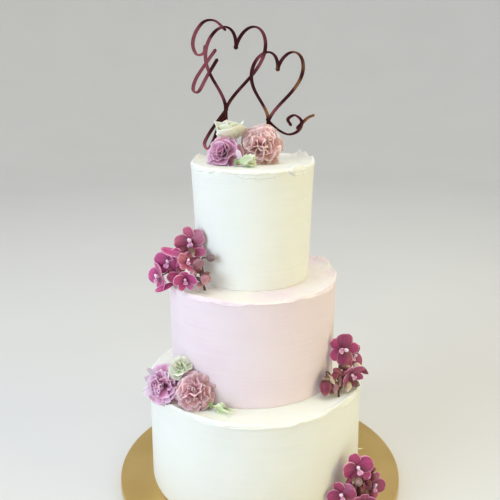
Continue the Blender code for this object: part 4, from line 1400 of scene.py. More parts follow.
@dataclass
class OrchidSpray:
    """A spray of orchids: its stem and stalks, its blooms and its buds."""

    name: str
    stem: tuple[tuple[float, float, float], ...]
    blooms: tuple[Bloom, ...]
    buds: tuple[Bud, ...]
    bracts: tuple[tuple, ...]
    petals: tuple[tuple, ...]
    seed: int
    tone: Skin
    stem_radius: float = 1.5 * MM
    stalk_radius: float = 1.1 * MM
    stalk_sides: int = 10
    step: float = 2.0 * MM

    def paths(self, hub_length: float) -> list[tuple[list[Vector], float]]:
        """Runs the stem and a stalk to each bloom and bud.

        Args:
            hub_length: How far behind a bloom's middle its stalk ends.

        Returns:
            Each one's path and its radius at the base.
        """
        route = smooth_path([Vector(point) * MM for point in self.stem], self.step)
        found = [(route, self.stem_radius)]
        ends = [(bloom.place, hub_length) for bloom in self.blooms]
        ends += [(bud.place, 0.5 * bud.length * MM) for bud in self.buds]
        for place, depth in ends:
            back = -(place.to_3x3() @ Vector((0.0, 0.0, 1.0)))
            tip = place.translation + back * (depth + TOUCH_GAP)
            root = min(route[3:], key=lambda point: (point - tip).length + 0.4 * (point.z - route[0].z))
            elbow = tip + back * 0.35 * (root - tip).length
            found.append((smooth_path([root, elbow, tip], self.step), self.stalk_radius))
        return found

    def build_stem(self, workshop: Workshop, hub_length: float) -> None:
        """Builds the stem and its stalks as one piece, thicker at their joints.

        Args:
            workshop: What all pieces share.
            hub_length: How far behind a bloom's middle its stalk ends.
        """
        points = []
        edges = []
        thick = []
        for path, radius in self.paths(hub_length):
            start = len(points)
            points += path
            edges += [(start + i, start + i + 1) for i in range(len(path) - 1)]
            for i in range(len(path)):
                share = i / max(1, len(path) - 1)
                knuckle = 0.22 * bell(share % 0.34 - 0.17, 0.035)
                thick.append(radius * (1.0 - 0.28 * share + knuckle))
        base = bpy.data.meshes.new(self.name + "_lines")
        base.from_pydata([tuple(point) for point in points], edges, [])
        attribute = base.attributes.new("thick", "FLOAT", "POINT")
        attribute.data.foreach_set("value", thick)
        name = self.name + "_stems"
        mesh = workshop.stalks.bake(name, base, {"Sides": self.stalk_sides,
                                                 "Material": workshop.materials[Skin.STALK]})
        workshop.piece(name, mesh, [], "orchid_stems", self.name + "_stem")

    def build_bracts(self, workshop: Workshop) -> None:
        """Builds the small bracts, half-open buds and single petals that fill the spray, as one piece.

        Args:
            workshop: What all pieces share.
        """
        skins = sorted({item[-1] for item in (*self.bracts, *self.petals)})
        pile = MeshPile()
        name = self.name + "_bracts"
        OrchidMaker().loose_petals(pile, self.petals, self.seed + 90, skins)
        for number, bract in enumerate(self.bracts):
            BudMaker().shape(pile, Bud(*bract), self.seed + 60 + number, skins.index(bract[-1]))
        workshop.piece(name, pile, skins, "orchid_buds")

    def build(self, workshop: Workshop) -> None:
        """Builds every piece of the spray.

        Args:
            workshop: What all pieces share.
        """
        maker = OrchidMaker()
        self.build_stem(workshop, maker.hub_length)
        for number, bloom in enumerate(self.blooms):
            node = f"{self.name}_{number + 1}"
            maker.build(node, bloom, workshop, self.seed + number, bloom.tone or self.tone)
        for number, bud in enumerate(self.buds):
            BudMaker().build(f"{self.name}_bud_{number + 1}", bud, workshop, self.seed + 40 + number)
        self.build_bracts(workshop)


@dataclass(frozen=True)
class PetalCut:
    """The outline and crumple of a petal: widths at its base, waist and tip, and its ruffles."""

    length: float
    waist: float
    tip: float
    ruffle: float
    ruffles: float
    teeth: int
    tooth: float
    curl: float
    wrap: float
    point: float = 0.20


@dataclass
class Ruffled:
    """A flower head of many petals round a calyx, such as a carnation or a rose."""

    node: str
    centre: tuple[float, float, float]
    azimuth: float
    elevation: float
    radius: float
    petal: Skin
    slot: str
    seed: int
    inner: PetalCut
    outer: PetalCut
    count: int
    tilts: tuple[float, float]
    tilt_power: float = 0.75
    scatter: float = 0.22
    twist: float = 0.5
    inner_scale: float = 0.86
    foot: float = -0.42
    spread: float = 0.13
    drop: float = 0.10
    calyx: tuple[tuple[float, float], ...] = (
        (0.02, -0.84), (0.14, -0.82), (0.20, -0.68), (0.21, -0.56), (0.13, -0.48), (0.03, -0.46))
    kinds: int = 6
    rows: int = 10
    columns: int = 17
    calyx_sides: int = 20
    petal_thick: float = 0.018
    guards: tuple[tuple, ...] = ()

    def petal_grid(self, cut: PetalCut, draw: random.Random) -> np.ndarray:
        """Shapes one petal, its base at the origin and its tip up, facing -Y.

        Args:
            cut: Its outline and crumple.
            draw: Its own random numbers.

        Returns:
            The grid, as rows, columns and 3 coordinates.
        """
        share, u = grids(np.linspace(0.0, 1.0, self.rows), np.linspace(-1.0, 1.0, self.columns))
        wide = np.interp(share, (0.0, 0.25, 0.6, 0.88, 1.0), (0.05, 0.10, cut.waist, cut.tip, 0.92 * cut.tip))
        fan = 1.0 - cut.point * np.abs(u) ** 1.6 * share
        teeth = cut.tooth * np.abs(((u * cut.teeth * 0.5 + draw.random()) % 1.0) - 0.5) * 2.0
        z = cut.length * share * fan - teeth * share ** 6 * cut.length
        phase = draw.uniform(0.0, math.tau)
        second = draw.uniform(0.0, math.tau)
        swell = share ** 1.8
        ripple = (np.sin(cut.ruffles * math.pi * u + phase)
                  + 0.5 * np.sin(1.9 * cut.ruffles * math.pi * u + second + 3.0 * share))
        y = cut.ruffle * swell * ripple - cut.curl * share ** 2.2 + cut.wrap * u ** 2 * wide
        x = u * wide + 0.35 * cut.ruffle * swell * np.cos(cut.ruffles * math.pi * u + phase)
        return np.stack([x, y, z], -1) * self.radius * MM

    def petal_collection(self) -> bpy.types.Collection:
        """Makes the kinds of petal, from the inner cut to the outer one.

        Returns:
            A collection that holds one object for each kind.
        """
        collection = bpy.data.collections.new(self.node + "_petals")
        for kind in range(self.kinds):
            t = kind / (self.kinds - 1)
            draw = random.Random(self.seed * 31 + kind)
            cut = PetalCut(*((1 - t) * a + t * b for a, b in zip(astuple(self.inner), astuple(self.outer))))
            pile = MeshPile()
            pile.add_sheet(self.petal_grid(cut, draw), self.petal_thick * self.radius * MM)
            mesh = pile.to_mesh(f"{self.node}_petal_{kind}")
            mesh.attributes.remove(mesh.attributes["chance"])
            collection.objects.link(bpy.data.objects.new(mesh.name, mesh))
        return collection

    def build(self, workshop: Workshop) -> None:
        """Builds the petals as one piece, the calyx as another and the guard petals as a third.

        Args:
            workshop: What all pieces share.
        """
        place = facing(self.centre, self.azimuth, self.elevation)
        petals = self.petal_collection()
        size = self.radius * MM
        name = self.node + "_ruffles"
        mesh = workshop.whorl.bake(name, bpy.data.meshes.new(name), {
            "Petals": petals, "Kinds": self.kinds, "Count": self.count,
            "Inner Tilt": math.radians(self.tilts[0]), "Outer Tilt": math.radians(self.tilts[1]),
            "Tilt Power": self.tilt_power, "Scatter": self.scatter, "Twist": self.twist,
            "Inner Scale": self.inner_scale, "Spread": self.spread * size, "Drop": self.drop * size,
            "Seed": self.seed, "Material": workshop.materials[self.petal]})
        mesh.transform(place @ Matrix.Translation((0.0, 0.0, self.foot * size)))
        for item in list(petals.objects):
            bpy.data.objects.remove(item)
        bpy.data.collections.remove(petals)
        workshop.piece(name, mesh, [], self.slot, self.node)
        pile = MeshPile()
        pile.add_rings(lathe(self.calyx, self.calyx_sides) * size, 0, 0.4, place)
        workshop.piece(self.node + "_calyx", pile, [Skin.CALYX], "green_buds")
        if self.guards:
            pile = MeshPile()
            OrchidMaker().loose_petals(pile, self.guards, self.seed, [Skin.GUARD])
            workshop.piece(self.node + "_guard_petals", pile, [Skin.GUARD], self.slot)


@dataclass
class MirrorTopper:
    """The topper: two linked pen-drawn hearts with swashes, cut from one mirror sheet."""

    node: str = "topper"
    pen_thin: float = 2.6 * MM
    pen_thick: float = 4.8 * MM
    slant: float = 0.18
    step: float = 1.6 * MM
    heart_steps: int = 60
    dot_sides: int = 28
    stake_width: float = 5.0 * MM
    stake_depth: float = 46.0
    stake_point: float = 9.0
    stake_overlap: float = 6.0
    stock: float = 8.0 * MM
    stock_step: float = 0.8 * MM
    edge: float = 0.25 * MM
    large: tuple[float, float, float, float] = (-44.0, 64.0, 76.0, 104.0)
    small: tuple[float, float, float, float] = (12.0, 49.0, 66.0, 88.0)
    swashes: tuple[tuple[tuple[float, float], ...], ...] = (
        ((-43, 164), (-56, 175), (-70, 174), (-81, 161), (-85, 146), (-80, 134), (-71, 136), (-69, 145)),
        ((-54, 128), (-67, 108), (-79, 88), (-86, 90), (-82, 104), (-68, 124), (-56, 140)),
        ((-42, 66), (-53, 52), (-66, 34), (-73, 20), (-68, 13), (-61, 24), (-53, 44), (-44, 58)),
        ((10, 52), (24, 39), (39, 32), (52, 37), (56, 49), (47, 57), (38, 52), (42, 44)),
        ((50, 40), (58, 48), (65, 54), (72, 57)),
    )

    def __post_init__(self) -> None:
        """Reads the sheet's place from its solid."""
        low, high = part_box(self.node)
        self.sheet_y = 0.5 * (low.y + high.y)
        self.sheet = high.y - low.y
        self.top_z = low.z + self.stake_depth * MM

    def point(self, across: float, up: float) -> Vector:
        """Gives a point of the sheet from millimetres across the cake and above its top."""
        return Vector((across * MM, self.sheet_y, self.top_z + up * MM))

    def skin(self, rings: list[list[Vector]]) -> bpy.types.Object:
        """Closes rings of points into a solid stroke of stock.

        Args:
            rings: The rings.

        Returns:
            The stroke.
        """
        count = len(rings[0])
        points = [tuple(point) for ring in rings for point in ring]
        faces = [[count * r + i, count * r + (i + 1) % count, count * (r + 1) + (i + 1) % count,
                  count * (r + 1) + i] for r in range(len(rings) - 1) for i in range(count)]
        faces.append(list(range(count))[::-1])
        faces.append([count * (len(rings) - 1) + i for i in range(count)])
        mesh = bpy.data.meshes.new("stroke")
        mesh.from_pydata(points, [], faces)
        return put("stroke", mesh)

    def ribbon(self, path: Sequence[Vector], thickness: float) -> bpy.types.Object:
        """Draws one pen stroke, broad down the slant and thin across it.

        Args:
            path: The stroke's middle.
            thickness: The thickness of the stock.

        Returns:
            The stroke.
        """
        slant = Vector((self.slant, 0.0, 1.0)).normalized()
        half = Vector((0.0, 0.5 * thickness, 0.0))
        rings = []
        for i, point in enumerate(path):
            tangent = (path[min(i + 1, len(path) - 1)] - path[max(i - 1, 0)]).normalized()
            width = self.pen_thin + (self.pen_thick - self.pen_thin) * abs(tangent.dot(slant)) ** 1.5
            across = Vector((tangent.z, 0.0, -tangent.x)) * 0.5 * width
            rings.append([point - across - half, point + across - half,
                          point + across + half, point - across + half])
        return self.skin(rings)

    def flat(self, outline: Sequence[Vector], thickness: float) -> bpy.types.Object:
        """Makes a flat piece from an outline, counterclockwise seen from the front."""
        half = Vector((0.0, 0.5 * thickness, 0.0))
        return self.skin([[point + half for point in outline], [point - half for point in outline]])

    def dot(self, point: Vector, radius: float, thickness: float) -> bpy.types.Object:
        """Makes the round spot where a pen stroke starts or ends."""
        spokes = [Vector((math.cos(turn), 0.0, math.sin(turn))) for turn in circle(self.dot_sides)]
        return self.flat([point + spoke * radius for spoke in spokes], thickness)

    def heart_half(self, side: int, heart: tuple[float, float, float, float]) -> list[Vector]:
        """Draws one half of a slanted heart, from the notch between its lobes to its tip.

        Args:
            side: -1 for the left half, 1 for the right one.
            heart: Where its tip is across and up, its width and its height, in millimetres.

        Returns:
            The points of the curve.
        """
        tip_x, tip_up, width, height = heart
        points = []
        for i in range(self.heart_steps + 1):
            turn = math.pi * i / self.heart_steps
            across = side * 0.5 * width * math.sin(turn) ** 3
            curve = 13 * math.cos(turn) - 5 * math.cos(2 * turn) - 2 * math.cos(3 * turn) - math.cos(4 * turn)
            up = height * (curve + 17.0) / 29.0
            point = self.point(tip_x + across + self.slant * up, tip_up + up)
            if not points or (point - points[-1]).length > 0.5 * self.step:
                points.append(point)
        return points

    def stake(self, tip_x: float, tip_up: float, thickness: float) -> bpy.types.Object:
        """Makes one pointed stake, from just inside a heart's tip down into the cake.

        Args:
            tip_x: Where the tip is across, in millimetres.
            tip_up: How far it is above the cake, in millimetres.
            thickness: The thickness of the stock.

        Returns:
            The stake.
        """
        half = 0.5 * self.stake_width / MM
        top = tip_up + self.stake_overlap
        shoulder = self.stake_point - self.stake_depth
        corners = ((half, top), (-half, top), (-half, shoulder), (-0.3 * half, -self.stake_depth),
                   (0.3 * half, -self.stake_depth), (half, shoulder))
        return self.flat([self.point(tip_x + across, up) for across, up in corners], thickness)

    def boolean(self, piece: bpy.types.Object, other: bpy.types.Object, operation: str) -> None:
        """Joins or cuts a piece with another, which is then removed.

        Args:
            piece: The piece.
            other: The stroke or the block that it meets.
            operation: UNION or INTERSECT.
        """
        modifier = piece.modifiers.new("join", "BOOLEAN")
        modifier.operation = operation
        modifier.solver = "MANIFOLD"
        modifier.object = other
        result = finished_mesh(piece)
        piece.modifiers.remove(modifier)
        piece.data = result
        bpy.data.objects.remove(other)

    def build(self, workshop: Workshop) -> None:
        """Builds the topper's piece: the strokes fused, cut to the sheet, edges eased.

        Args:
            workshop: What all pieces share.
        """
        stock = (self.stock + i * self.stock_step for i in itertools.count())
        strokes = []
        for heart in (self.large, self.small):
            strokes.append(self.stake(heart[0], heart[1], next(stock)))
            halves = [self.heart_half(side, heart) for side in (-1, 1)]
            strokes += [self.ribbon(half, next(stock)) for half in halves]
            strokes.append(self.dot(halves[0][0], 0.62 * self.pen_thick, next(stock)))
        for swash in self.swashes:
            path = smooth_path([self.point(*point) for point in swash], self.step)
            strokes.append(self.ribbon(path, next(stock)))
            strokes += [self.dot(path[end], 0.5 * self.pen_thin, next(stock)) for end in (0, -1)]
        piece = strokes[0]
        for stroke in strokes[1:]:
            self.boolean(piece, stroke, "UNION")
        low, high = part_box(self.node)
        left, right = low.x - self.stock, high.x + self.stock
        under, over = low.z - self.stock, high.z + self.stock
        corners = ((right, over), (left, over), (left, under), (right, under))
        outline = [Vector((x, self.sheet_y, z)) for x, z in corners]
        self.boolean(piece, self.flat(outline, self.sheet), "INTERSECT")
        bevel = piece.modifiers.new("edge", "BEVEL")
        bevel.width = self.edge
        bevel.segments = 2
        bevel.limit_method = "ANGLE"
        bevel.angle_limit = math.radians(60)
        mesh = finished_mesh(piece)
        bpy.data.objects.remove(piece)
        mesh.materials.clear()
        mesh.shade_smooth()
        mesh.set_sharp_from_angle(angle=math.radians(30))
        workshop.piece("topper_linked_hearts", mesh, [MirrorFinish.name], "rose_gold_mirror", self.node)


@dataclass
class CreamSmear:
    """The small smear of cream that lies on the board beside the bottom tier."""

    start: tuple[float, float] = (149.0, 31.0)
    end: tuple[float, float] = (159.5, 33.0)
    half_width: float = 1.1
    height: float = 0.9
    sides: int = 12
    sunk: float = 0.05 * MM

    def build(self, workshop: Workshop) -> None:
        """Builds the smear's piece on the board's top.

        Args:
            workshop: What all pieces share.
        """
        _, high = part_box("cake_board")
        share, turn = grids(np.linspace(0.0, 1.0, self.sides), circle(self.sides))
        swell = np.sqrt(np.maximum(1.0 - (2.0 * share - 1.0) ** 2, 0.01))
        x = self.start[0] + (self.end[0] - self.start[0]) * share
        y = self.start[1] + (self.end[1] - self.start[1]) * share + 0.4 * np.sin(5.0 * share)
        y = y + self.half_width * swell * np.cos(turn)
        z = np.maximum(0.0, self.height * swell * (0.35 + np.sin(turn)))
        grid = np.stack([x, y, z], -1) * MM
        grid[..., 2] += high.z - self.sunk
        pile = MeshPile()
        pile.add_rings(grid)
        workshop.piece("board_cream_smear", pile, [Cream.WHITE], "white_buttercream")


# The tiers, from the bottom, with the flaps and the torn stretches of their rims.
TIERS = (
    ButterTier("bottom_tier", Cream.WHITE, "white_buttercream", 110, 680,
               (Fold(-112, 10, 4.5, 1.3), Fold(-88, 22, 4.2, 1.1), Fold(-60, 9, 2.8, 0.9),
                Fold(-30, 16, 3.4, 1.0), Fold(35, 24, 4.0, 1.1), Fold(100, 30, 3.6, 1.1),
                Fold(165, 26, 4.2, 0.7)),
               (Tear(-112, 9, 1.6), Tear(-90, 12, 1.2), Tear(-42, 12, 1.4), Tear(62, 14, 1.5),
                Tear(150, 14, 1.5)), "middle_tier"),
    ButterTier("middle_tier", Cream.BLUSH, "blush_buttercream", 220, 640,
               (Fold(-128, 14, 4.4, 1.3), Fold(-104, 12, 3.6, 1.1), Fold(-76, 15, 2.6, 0.9),
                Fold(-40, 18, 3.2, 1.0), Fold(28, 12, 4.6, 1.3), Fold(80, 24, 3.8, 1.0),
                Fold(150, 28, 4.0, 0.7)),
               (Tear(38, 14, 4.2), Tear(22, 8, 3.6), Tear(4, 12, 2.6), Tear(58, 12, 2.8),
                Tear(-130, 10, 1.6), Tear(-108, 8, 1.8), Tear(95, 14, 2.0), Tear(160, 12, 2.0)), "top_tier"),
    ButterTier("top_tier", Cream.WHITE, "white_buttercream", 330, 560,
               (Fold(-142, 18, 5.0, 1.3), Fold(-84, 30, 8.5, 1.1), Fold(-96, 40, 3.6, 1.0),
                Fold(-46, 12, 7.5, 2.2), Fold(20, 24, 6.5, 1.0), Fold(90, 30, 4.4, 1.1),
                Fold(155, 24, 5.0, 0.8)),
               (Tear(37, 5, 6.4), Tear(27, 5, 4.0), Tear(6, 7, 3.4), Tear(157, 12, 3.2),
                Tear(-165, 12, 1.8), Tear(-60, 20, 1.2), Tear(95, 18, 2.0), Tear(-46, 9, 3.0))),
)

# The sprays: the stem's points, then blooms, buds, bracts and single petals, in millimetres and degrees.
SPRAYS = (
    OrchidSpray(
        "left_orchid", ((-70, -66, 306), (-74, -60, 318), (-78, -53, 334), (-81, -45, 350), (-82, -37, 362)),
        (Bloom((-88.5, -47, 366.5), -104, 6, 20, 21.0, 0.14, Skin.DUSK_PETAL),
         Bloom((-116, -55, 341), -112, 8, -6, 20.0, 0.12), Bloom((-93.5, -78, 325), -85, -8, 5, 15.0, 0.55),
         Bloom((-130, -52, 321), -142, -4, 12, 20.5, 0.15),
         Bloom((-91, -66, 345), -62, 28, -20, 14.5, 0.25, Skin.DUSK_PETAL)),
        (Bud((-61.5, -68.5, 350), -40, 12, 14, 5.4, Skin.GREY_BUD),
         Bud((-68.5, -82, 326), -70, -50, 16, 7.0, Skin.PINK_BUD)),
        (((-66, -80, 334), -20, 15, 13, 2.2, Skin.BRACT),
         ((-79, -66, 333), -150, 30, 15, 4.0, Skin.DARK_BUD),
         ((-86, -62, 357), -60, -30, 15, 4.4, Skin.BRACT),
         ((-101, -62, 333), -100, -20, 18, 6.0, Skin.DARK_BUD),
         ((-76, -76, 316), -95, -20, 13, 4.6, Skin.PINK_BUD),
         ((-99, -52, 353), -110, -25, 19, 6.0, Skin.DARK_BUD),
         ((-108, -56, 327), -120, -15, 18, 6.5, Skin.DARK_BUD),
         ((-118, -48, 329), -140, 10, 16, 5.5, Skin.DARK_BUD),
         ((-84, -74, 331), -80, 10, 15, 4.8, Skin.PINK_BUD),
         ((-72, -78, 328), -30, 55, 14, 2.6, Skin.BRACT),
         ((-80, -60, 345), -70, 20, 16, 5.0, Skin.DARK_BUD)),
        (((-91, -60, 352), -92, 48, 84, 34, 7, Skin.PETAL),
         ((-88, -58, 355), -84, 30, -96, 20, 6, Skin.WINE_PETAL),
         ((-110, -60, 314), -100, 20, 118, 25, 4, Skin.PETAL),
         ((-92, -66, 336), -78, 18, 12, 15, 7, Skin.PINK_BUD),
         ((-98, -66, 318), -96, 2, 62, 21, 8, Skin.WINE_PETAL),
         ((-106, -60, 326), -100, 8, 16, 20, 8, Skin.WINE_PETAL),
         ((-100, -58, 344), -96, 12, 40, 18, 8, Skin.PETAL),
         ((-84, -70, 338), -70, 10, -60, 15, 6, Skin.PINK_BUD)),
        400, Skin.PETAL),
    OrchidSpray(
        "right_orchid", ((103, -79, 161), (104, -70, 176), (105, -60, 190), (107, -50, 203), (109, -44, 212)),
        (Bloom((111.5, -56, 219), -80, 12, -90, 22.5, 0.10),
         Bloom((127, -36, 201), -50, 4, -60, 19.0, 0.12), Bloom((121, -64, 187), -62, -12, 35, 18.0, 0.40)),
        (Bud((85, -82, 177.5), -110, -68, 24, 8.6, Skin.DARK_BUD),
         Bud((97, -80, 177), -70, -60, 16, 5.6, Skin.PINK_BUD),
         Bud((128, -56, 169), -30, -10, 14, 5.2, Skin.GREY_BUD)),
        (((87, -80, 189), -160, 10, 15, 4.0, Skin.BRACT),
         ((92, -80, 188), -50, -35, 17, 3.6, Skin.CREAM_BRACT),
         ((112, -66, 190), -150, -15, 18, 5.2, Skin.DARK_BUD),
         ((116, -66, 171), -100, -40, 17, 6.0, Skin.CREAM_BRACT),
         ((137, -58, 190), -30, -25, 18, 4.4, Skin.DARK_BUD),
         ((129, -60, 197), -60, 20, 16, 4.6, Skin.CREAM_BRACT),
         ((103, -76, 186), -80, -60, 20, 3.2, Skin.BRACT), ((107, -60, 168), -60, 65, 18, 4.0, Skin.BRACT),
         ((97, -76, 190), -120, -40, 17, 4.8, Skin.DARK_BUD),
         ((108, -70, 181), -100, -70, 16, 5.0, Skin.DARK_BUD),
         ((122, -62, 175), -40, -60, 15, 4.8, Skin.DARK_BUD),
         ((93, -78, 170), -60, -50, 13, 4.6, Skin.BRACT),
         ((101, -72, 195), -150, 40, 18, 5.2, Skin.DARK_BUD),
         ((112, -62, 197), -40, 10, 18, 5.4, Skin.BRACT),
         ((97, -78, 181), -50, -75, 15, 2.4, Skin.CREAM_BRACT),
         ((118, -58, 181), -60, -30, 18, 5.4, Skin.DARK_BUD)),
        (),
        500, Skin.WINE_PETAL),
    OrchidSpray(
        "base_orchid", ((124, -106, 11), (125, -104, 26), (127, -101, 42), (128, -98, 56), (128, -96, 69)),
        (Bloom((127, -110, 76), -84, 14, 16, 21.5, 0.12), Bloom((150, -102, 44), -58, 6, -28, 20.0, 0.15),
         Bloom((105.5, -125, 46), -108, 8, 30, 20.0, 0.15), Bloom((134, -126, 34), -82, -6, 0, 17.0, 0.20)),
        (Bud((126, -119, 61), -95, 20, 15, 6.2, Skin.GREY_BUD),
         Bud((119, -125, 24), -100, -30, 17, 5.8, Skin.PINK_BUD)),
        (((133, -108, 60), -60, 25, 17, 5.4, Skin.DARK_BUD),
         ((116, -116, 58), -120, -20, 19, 6.2, Skin.DARK_BUD),
         ((140, -108, 54), -40, -40, 18, 5.6, Skin.DARK_BUD),
         ((122, -112, 46), -100, -60, 20, 6.0, Skin.BRACT),
         ((146, -100, 66), -30, 30, 17, 4.8, Skin.DARK_BUD),
         ((117, -120, 39), -130, -30, 15, 5.2, Skin.DARK_BUD),
         ((146, -110, 33), -50, -60, 16, 5.4, Skin.DARK_BUD),
         ((121, -118, 63), -110, -10, 13, 3.4, Skin.BRACT),
         ((130, -110, 44), -90, 20, 22, 8.0, Skin.DARK_BUD),
         ((137, -108, 38), -60, -40, 20, 7.0, Skin.BRACT),
         ((128, -112, 34), -90, -20, 20, 7.4, Skin.DARK_BUD),
         ((147, -104, 58), -50, 40, 18, 6.0, Skin.DARK_BUD)),
        (),
        600, Skin.WINE_PETAL),
)

# The cuts of the petals, next to the heart and outermost, as shares of the flower's radius.
CARNATION_INNER = PetalCut(1.00, 0.40, 0.54, 0.150, 1.5, 8, 0.05, 0.02, 0.25)
CARNATION_OUTER = PetalCut(1.14, 0.44, 0.66, 0.110, 1.3, 10, 0.06, 0.14, 0.05)
CURLED_INNER = PetalCut(0.98, 0.50, 0.56, 0.080, 0.9, 3, 0.02, 0.02, 0.50)
CURLED_OUTER = PetalCut(1.16, 0.56, 0.74, 0.080, 1.0, 4, 0.03, 0.16, 0.18)
LEAFY_INNER = PetalCut(1.05, 0.40, 0.52, 0.09, 1.1, 4, 0.03, 0.00, 0.45)
LEAFY_OUTER = PetalCut(1.14, 0.50, 0.66, 0.08, 1.0, 4, 0.03, 0.06, 0.25)
ROSE_INNER = PetalCut(1.60, 0.72, 0.66, 0.05, 0.7, 2, 0.01, -0.02, 0.42, 0.26)
ROSE_OUTER = PetalCut(1.74, 1.02, 0.92, 0.09, 0.8, 2, 0.01, 0.08, 0.24, 0.24)
LEAF_INNER = PetalCut(6.60, 1.20, 0.60, 0.10, 0.6, 2, 0.00, -0.10, 0.50, 0.45)
LEAF_OUTER = PetalCut(6.50, 1.60, 0.85, 0.12, 0.6, 2, 0.00, 0.10, 0.42, 0.45)
BUD_INNER = PetalCut(4.40, 0.75, 0.70, 0.25, 1.0, 3, 0.02, -0.10, 0.40, 0.30)
BUD_OUTER = PetalCut(4.20, 1.00, 0.95, 0.32, 1.2, 3, 0.03, 0.50, 0.30, 0.30)

# The flowers: centre, azimuth, elevation, radius, skin, slot, seed, cuts, petal count and tilts.
FLOWERS = (
    Ruffled("ledge_mauve_carnation", (-131, -84, 182), -128, 22, 24.0, Skin.MAUVE, "mauve_petals", 5,
            CARNATION_INNER, CARNATION_OUTER, 30, (4.0, 84.0), guards=(
                ((-126, -80, 173), -118, 20, 106, 28, 9, Skin.GUARD),
                ((-127, -78, 180), -124, 14, 78, 26, 8, Skin.GUARD),
                ((-134, -78, 189), -110, 8, 46, 19, 4.5, Skin.GUARD))),
    Ruffled("ledge_pink_carnation", (-86, -109, 184), -100, 20, 23.5, Skin.DUSK, "pink_petals", 8,
            CARNATION_INNER, CARNATION_OUTER, 28, (4.0, 84.0)),
    Ruffled("ledge_green_flower", (-103.5, -84, 209), -108, 42, 15.0, Skin.LEAFY, "green_petals", 13,
            LEAFY_INNER, LEAFY_OUTER, 14, (6.0, 76.0)),
    Ruffled("top_mauve_carnation", (-47.5, -30, 477.5), -112, 30, 20.5, Skin.CURLED_MAUVE, "mauve_petals", 21,
            CURLED_INNER, CURLED_OUTER, 20, (4.0, 84.0)),
    Ruffled("top_pink_carnation", (-0.5, -22, 483), -106, 12, 25.0, Skin.PINK, "pink_petals", 34,
            CARNATION_INNER, CARNATION_OUTER, 32, (4.0, 86.0), guards=(
                ((-24, -41, 464), -112, 16, 14, 17, 3.6, Skin.GUARD),)),
    Ruffled("top_white_rose", (-37.0, 0.0, 498.6), -90, 88, 22.0, Skin.WHITE, "white_petals", 55,
            ROSE_INNER, ROSE_OUTER, 9, (3.0, 34.0), 0.9, 0.08, 0.25, 0.90, -0.76, 0.10, 0.10,
            ((0.02, -1.69), (0.10, -1.685), (0.10, -1.0), (0.30, -0.86), (0.36, -0.66), (0.10, -0.5))),
    Ruffled("ledge_green_bud", (-50.5, -117, 168.2), -24, -4, 5.6, Skin.GREEN_BUD, "green_buds", 71,
            LEAF_INNER, LEAF_OUTER, 4, (1.0, 10.0), 1.0, 0.03, 0.4, 1.0, -2.9, 0.25, 0.0,
            ((0.02, -3.0), (0.35, -2.95), (0.62, -2.6), (0.66, -2.2), (0.2, -2.0))),
    Ruffled("top_green_bud", (-17, -46, 467), -12, 2, 6.6, Skin.GREEN_BUD, "green_buds", 72,
            BUD_INNER, BUD_OUTER, 8, (0.0, 15.0), 1.0, 0.04, 0.5, 0.9, -2.1, 0.30, 0.0,
            ((0.02, -2.3), (0.35, -2.25), (0.62, -2.0), (0.66, -1.7), (0.2, -1.5))),
)


@dataclass(frozen=True)
class SoftLight:
    """One square soft light: where it hangs, its size, its power and its colour."""

    name: str
    location: tuple[float, float, float]
    size: float
    power: float
    colour: Colour


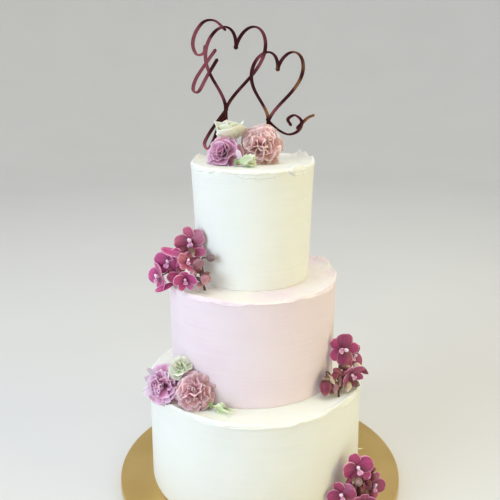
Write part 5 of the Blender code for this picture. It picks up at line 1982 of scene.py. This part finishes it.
@dataclass
class Studio:
    """A plain pale studio: the floor, the soft lights and the camera at the photo's place."""

    floor_radius: float = 4.5
    floor_bend: float = 2.0
    floor_height: float = 3.0
    floor_sides: int = 96
    camera_place: tuple[float, float, float] = (-8.93 * MM, -852.69 * MM, 584.1 * MM)
    camera_pitch: float = 15.94
    camera_roll: float = -0.207
    lens: float = 47.1
    sensor: float = 36.0
    shift_x: float = -0.0058
    world_level: float = 0.47
    lights: tuple[SoftLight, ...] = (
        SoftLight("cool_window", (-1.9, -1.3, 1.15), 1.5, 32.0, (0.68, 0.85, 1.0)),
        SoftLight("warm_lamp", (1.8, -0.8, 0.9), 1.0, 11.0, (1.0, 0.88, 0.24)),
        SoftLight("overhead", (0.1, -0.1, 4.0), 2.0, 64.0, (1.0, 0.99, 0.94)),
    )

    def build_floor(self) -> None:
        """Lays the pale floor under the board, swept up like a bowl far round the cake."""
        bend = [math.pi / 2 * k / 24 for k in range(25)]
        inner = self.floor_radius - self.floor_bend
        outline = [(inner + self.floor_bend * math.sin(a), self.floor_bend * (1 - math.cos(a))) for a in bend]
        outline.append((self.floor_radius, self.floor_height))
        n = self.floor_sides
        points = [(0.0, 0.0, 0.0), *lathe(outline, n).reshape(-1, 3).tolist()]
        faces = [(0, 1 + i, 1 + (i + 1) % n) for i in range(n)]
        faces += [(1 + n * k + i, 1 + n * (k + 1) + i, 1 + n * (k + 1) + (i + 1) % n, 1 + n * k + (i + 1) % n)
                  for k in range(len(outline) - 1) for i in range(n)]
        mesh = bpy.data.meshes.new("studio_floor")
        mesh.from_pydata(points, [], faces)
        mesh.shade_smooth()
        material, nodes, shader = new_material("studio_floor_paint")
        tone = nodes.mix(nodes.noise(nodes.place(), 3.0, 2.0), srgb(222, 221, 219), srgb(228, 227, 225))
        nodes.feed(shader, {"Base Color": tone, "Roughness": 0.8})
        mesh.materials.append(material)
        floor = put("studio_floor", mesh)

    def build_lights(self) -> None:
        """Hangs the soft lights and sets the even light all round."""
        target = Vector((0.0, 0.0, 0.3))
        for light in self.lights:
            lamp = bpy.data.lights.new(light.name, "AREA")
            lamp.shape = "SQUARE"
            lamp.size = light.size
            lamp.energy = light.power
            lamp.color = light.colour
            item = put(light.name, lamp)
            item.location = light.location
            item.rotation_euler = (target - item.location).to_track_quat("-Z", "Y").to_euler()
        world = bpy.data.worlds.new("studio_air")
        world.use_nodes = True
        background = world.node_tree.nodes["Background"]
        background.inputs["Color"].default_value = (0.96, 0.97, 1.0, 1.0)
        background.inputs["Strength"].default_value = self.world_level
        bpy.context.scene.world = world

    def build_camera(self) -> None:
        """Sets the camera where the photo was taken from."""
        data = bpy.data.cameras.new("photo_camera")
        data.lens = self.lens
        data.sensor_width = self.sensor
        data.shift_x = self.shift_x
        data.clip_start = 0.05
        data.clip_end = 50.0
        camera = put("photo_camera", data)
        tilt = Euler((math.radians(90.0 - self.camera_pitch), 0.0, 0.0)).to_matrix().to_4x4()
        roll = Matrix.Rotation(math.radians(self.camera_roll), 4, "Z")
        camera.matrix_world = Matrix.Translation(self.camera_place) @ tilt @ roll
        bpy.context.scene.camera = camera

    def build(self) -> None:
        """Builds the studio and shows colours as they are."""
        self.build_floor()
        self.build_lights()
        self.build_camera()
        bpy.context.scene.view_settings.view_transform = "Standard"


def main() -> None:
    """Builds the studio and the dressed cake, piece by piece."""
    logging.basicConfig(level=logging.INFO, format="%(name)s: %(message)s")
    Studio().build()
    workshop = Workshop()
    DrumBoard().build(workshop)
    CreamSmear().build(workshop)
    for tier in TIERS:
        tier.build(workshop)
    MirrorTopper().build(workshop)
    for spray in SPRAYS:
        spray.build(workshop)
    for flower in FLOWERS:
        flower.build(workshop)


if __name__ == "__main__":
    main()
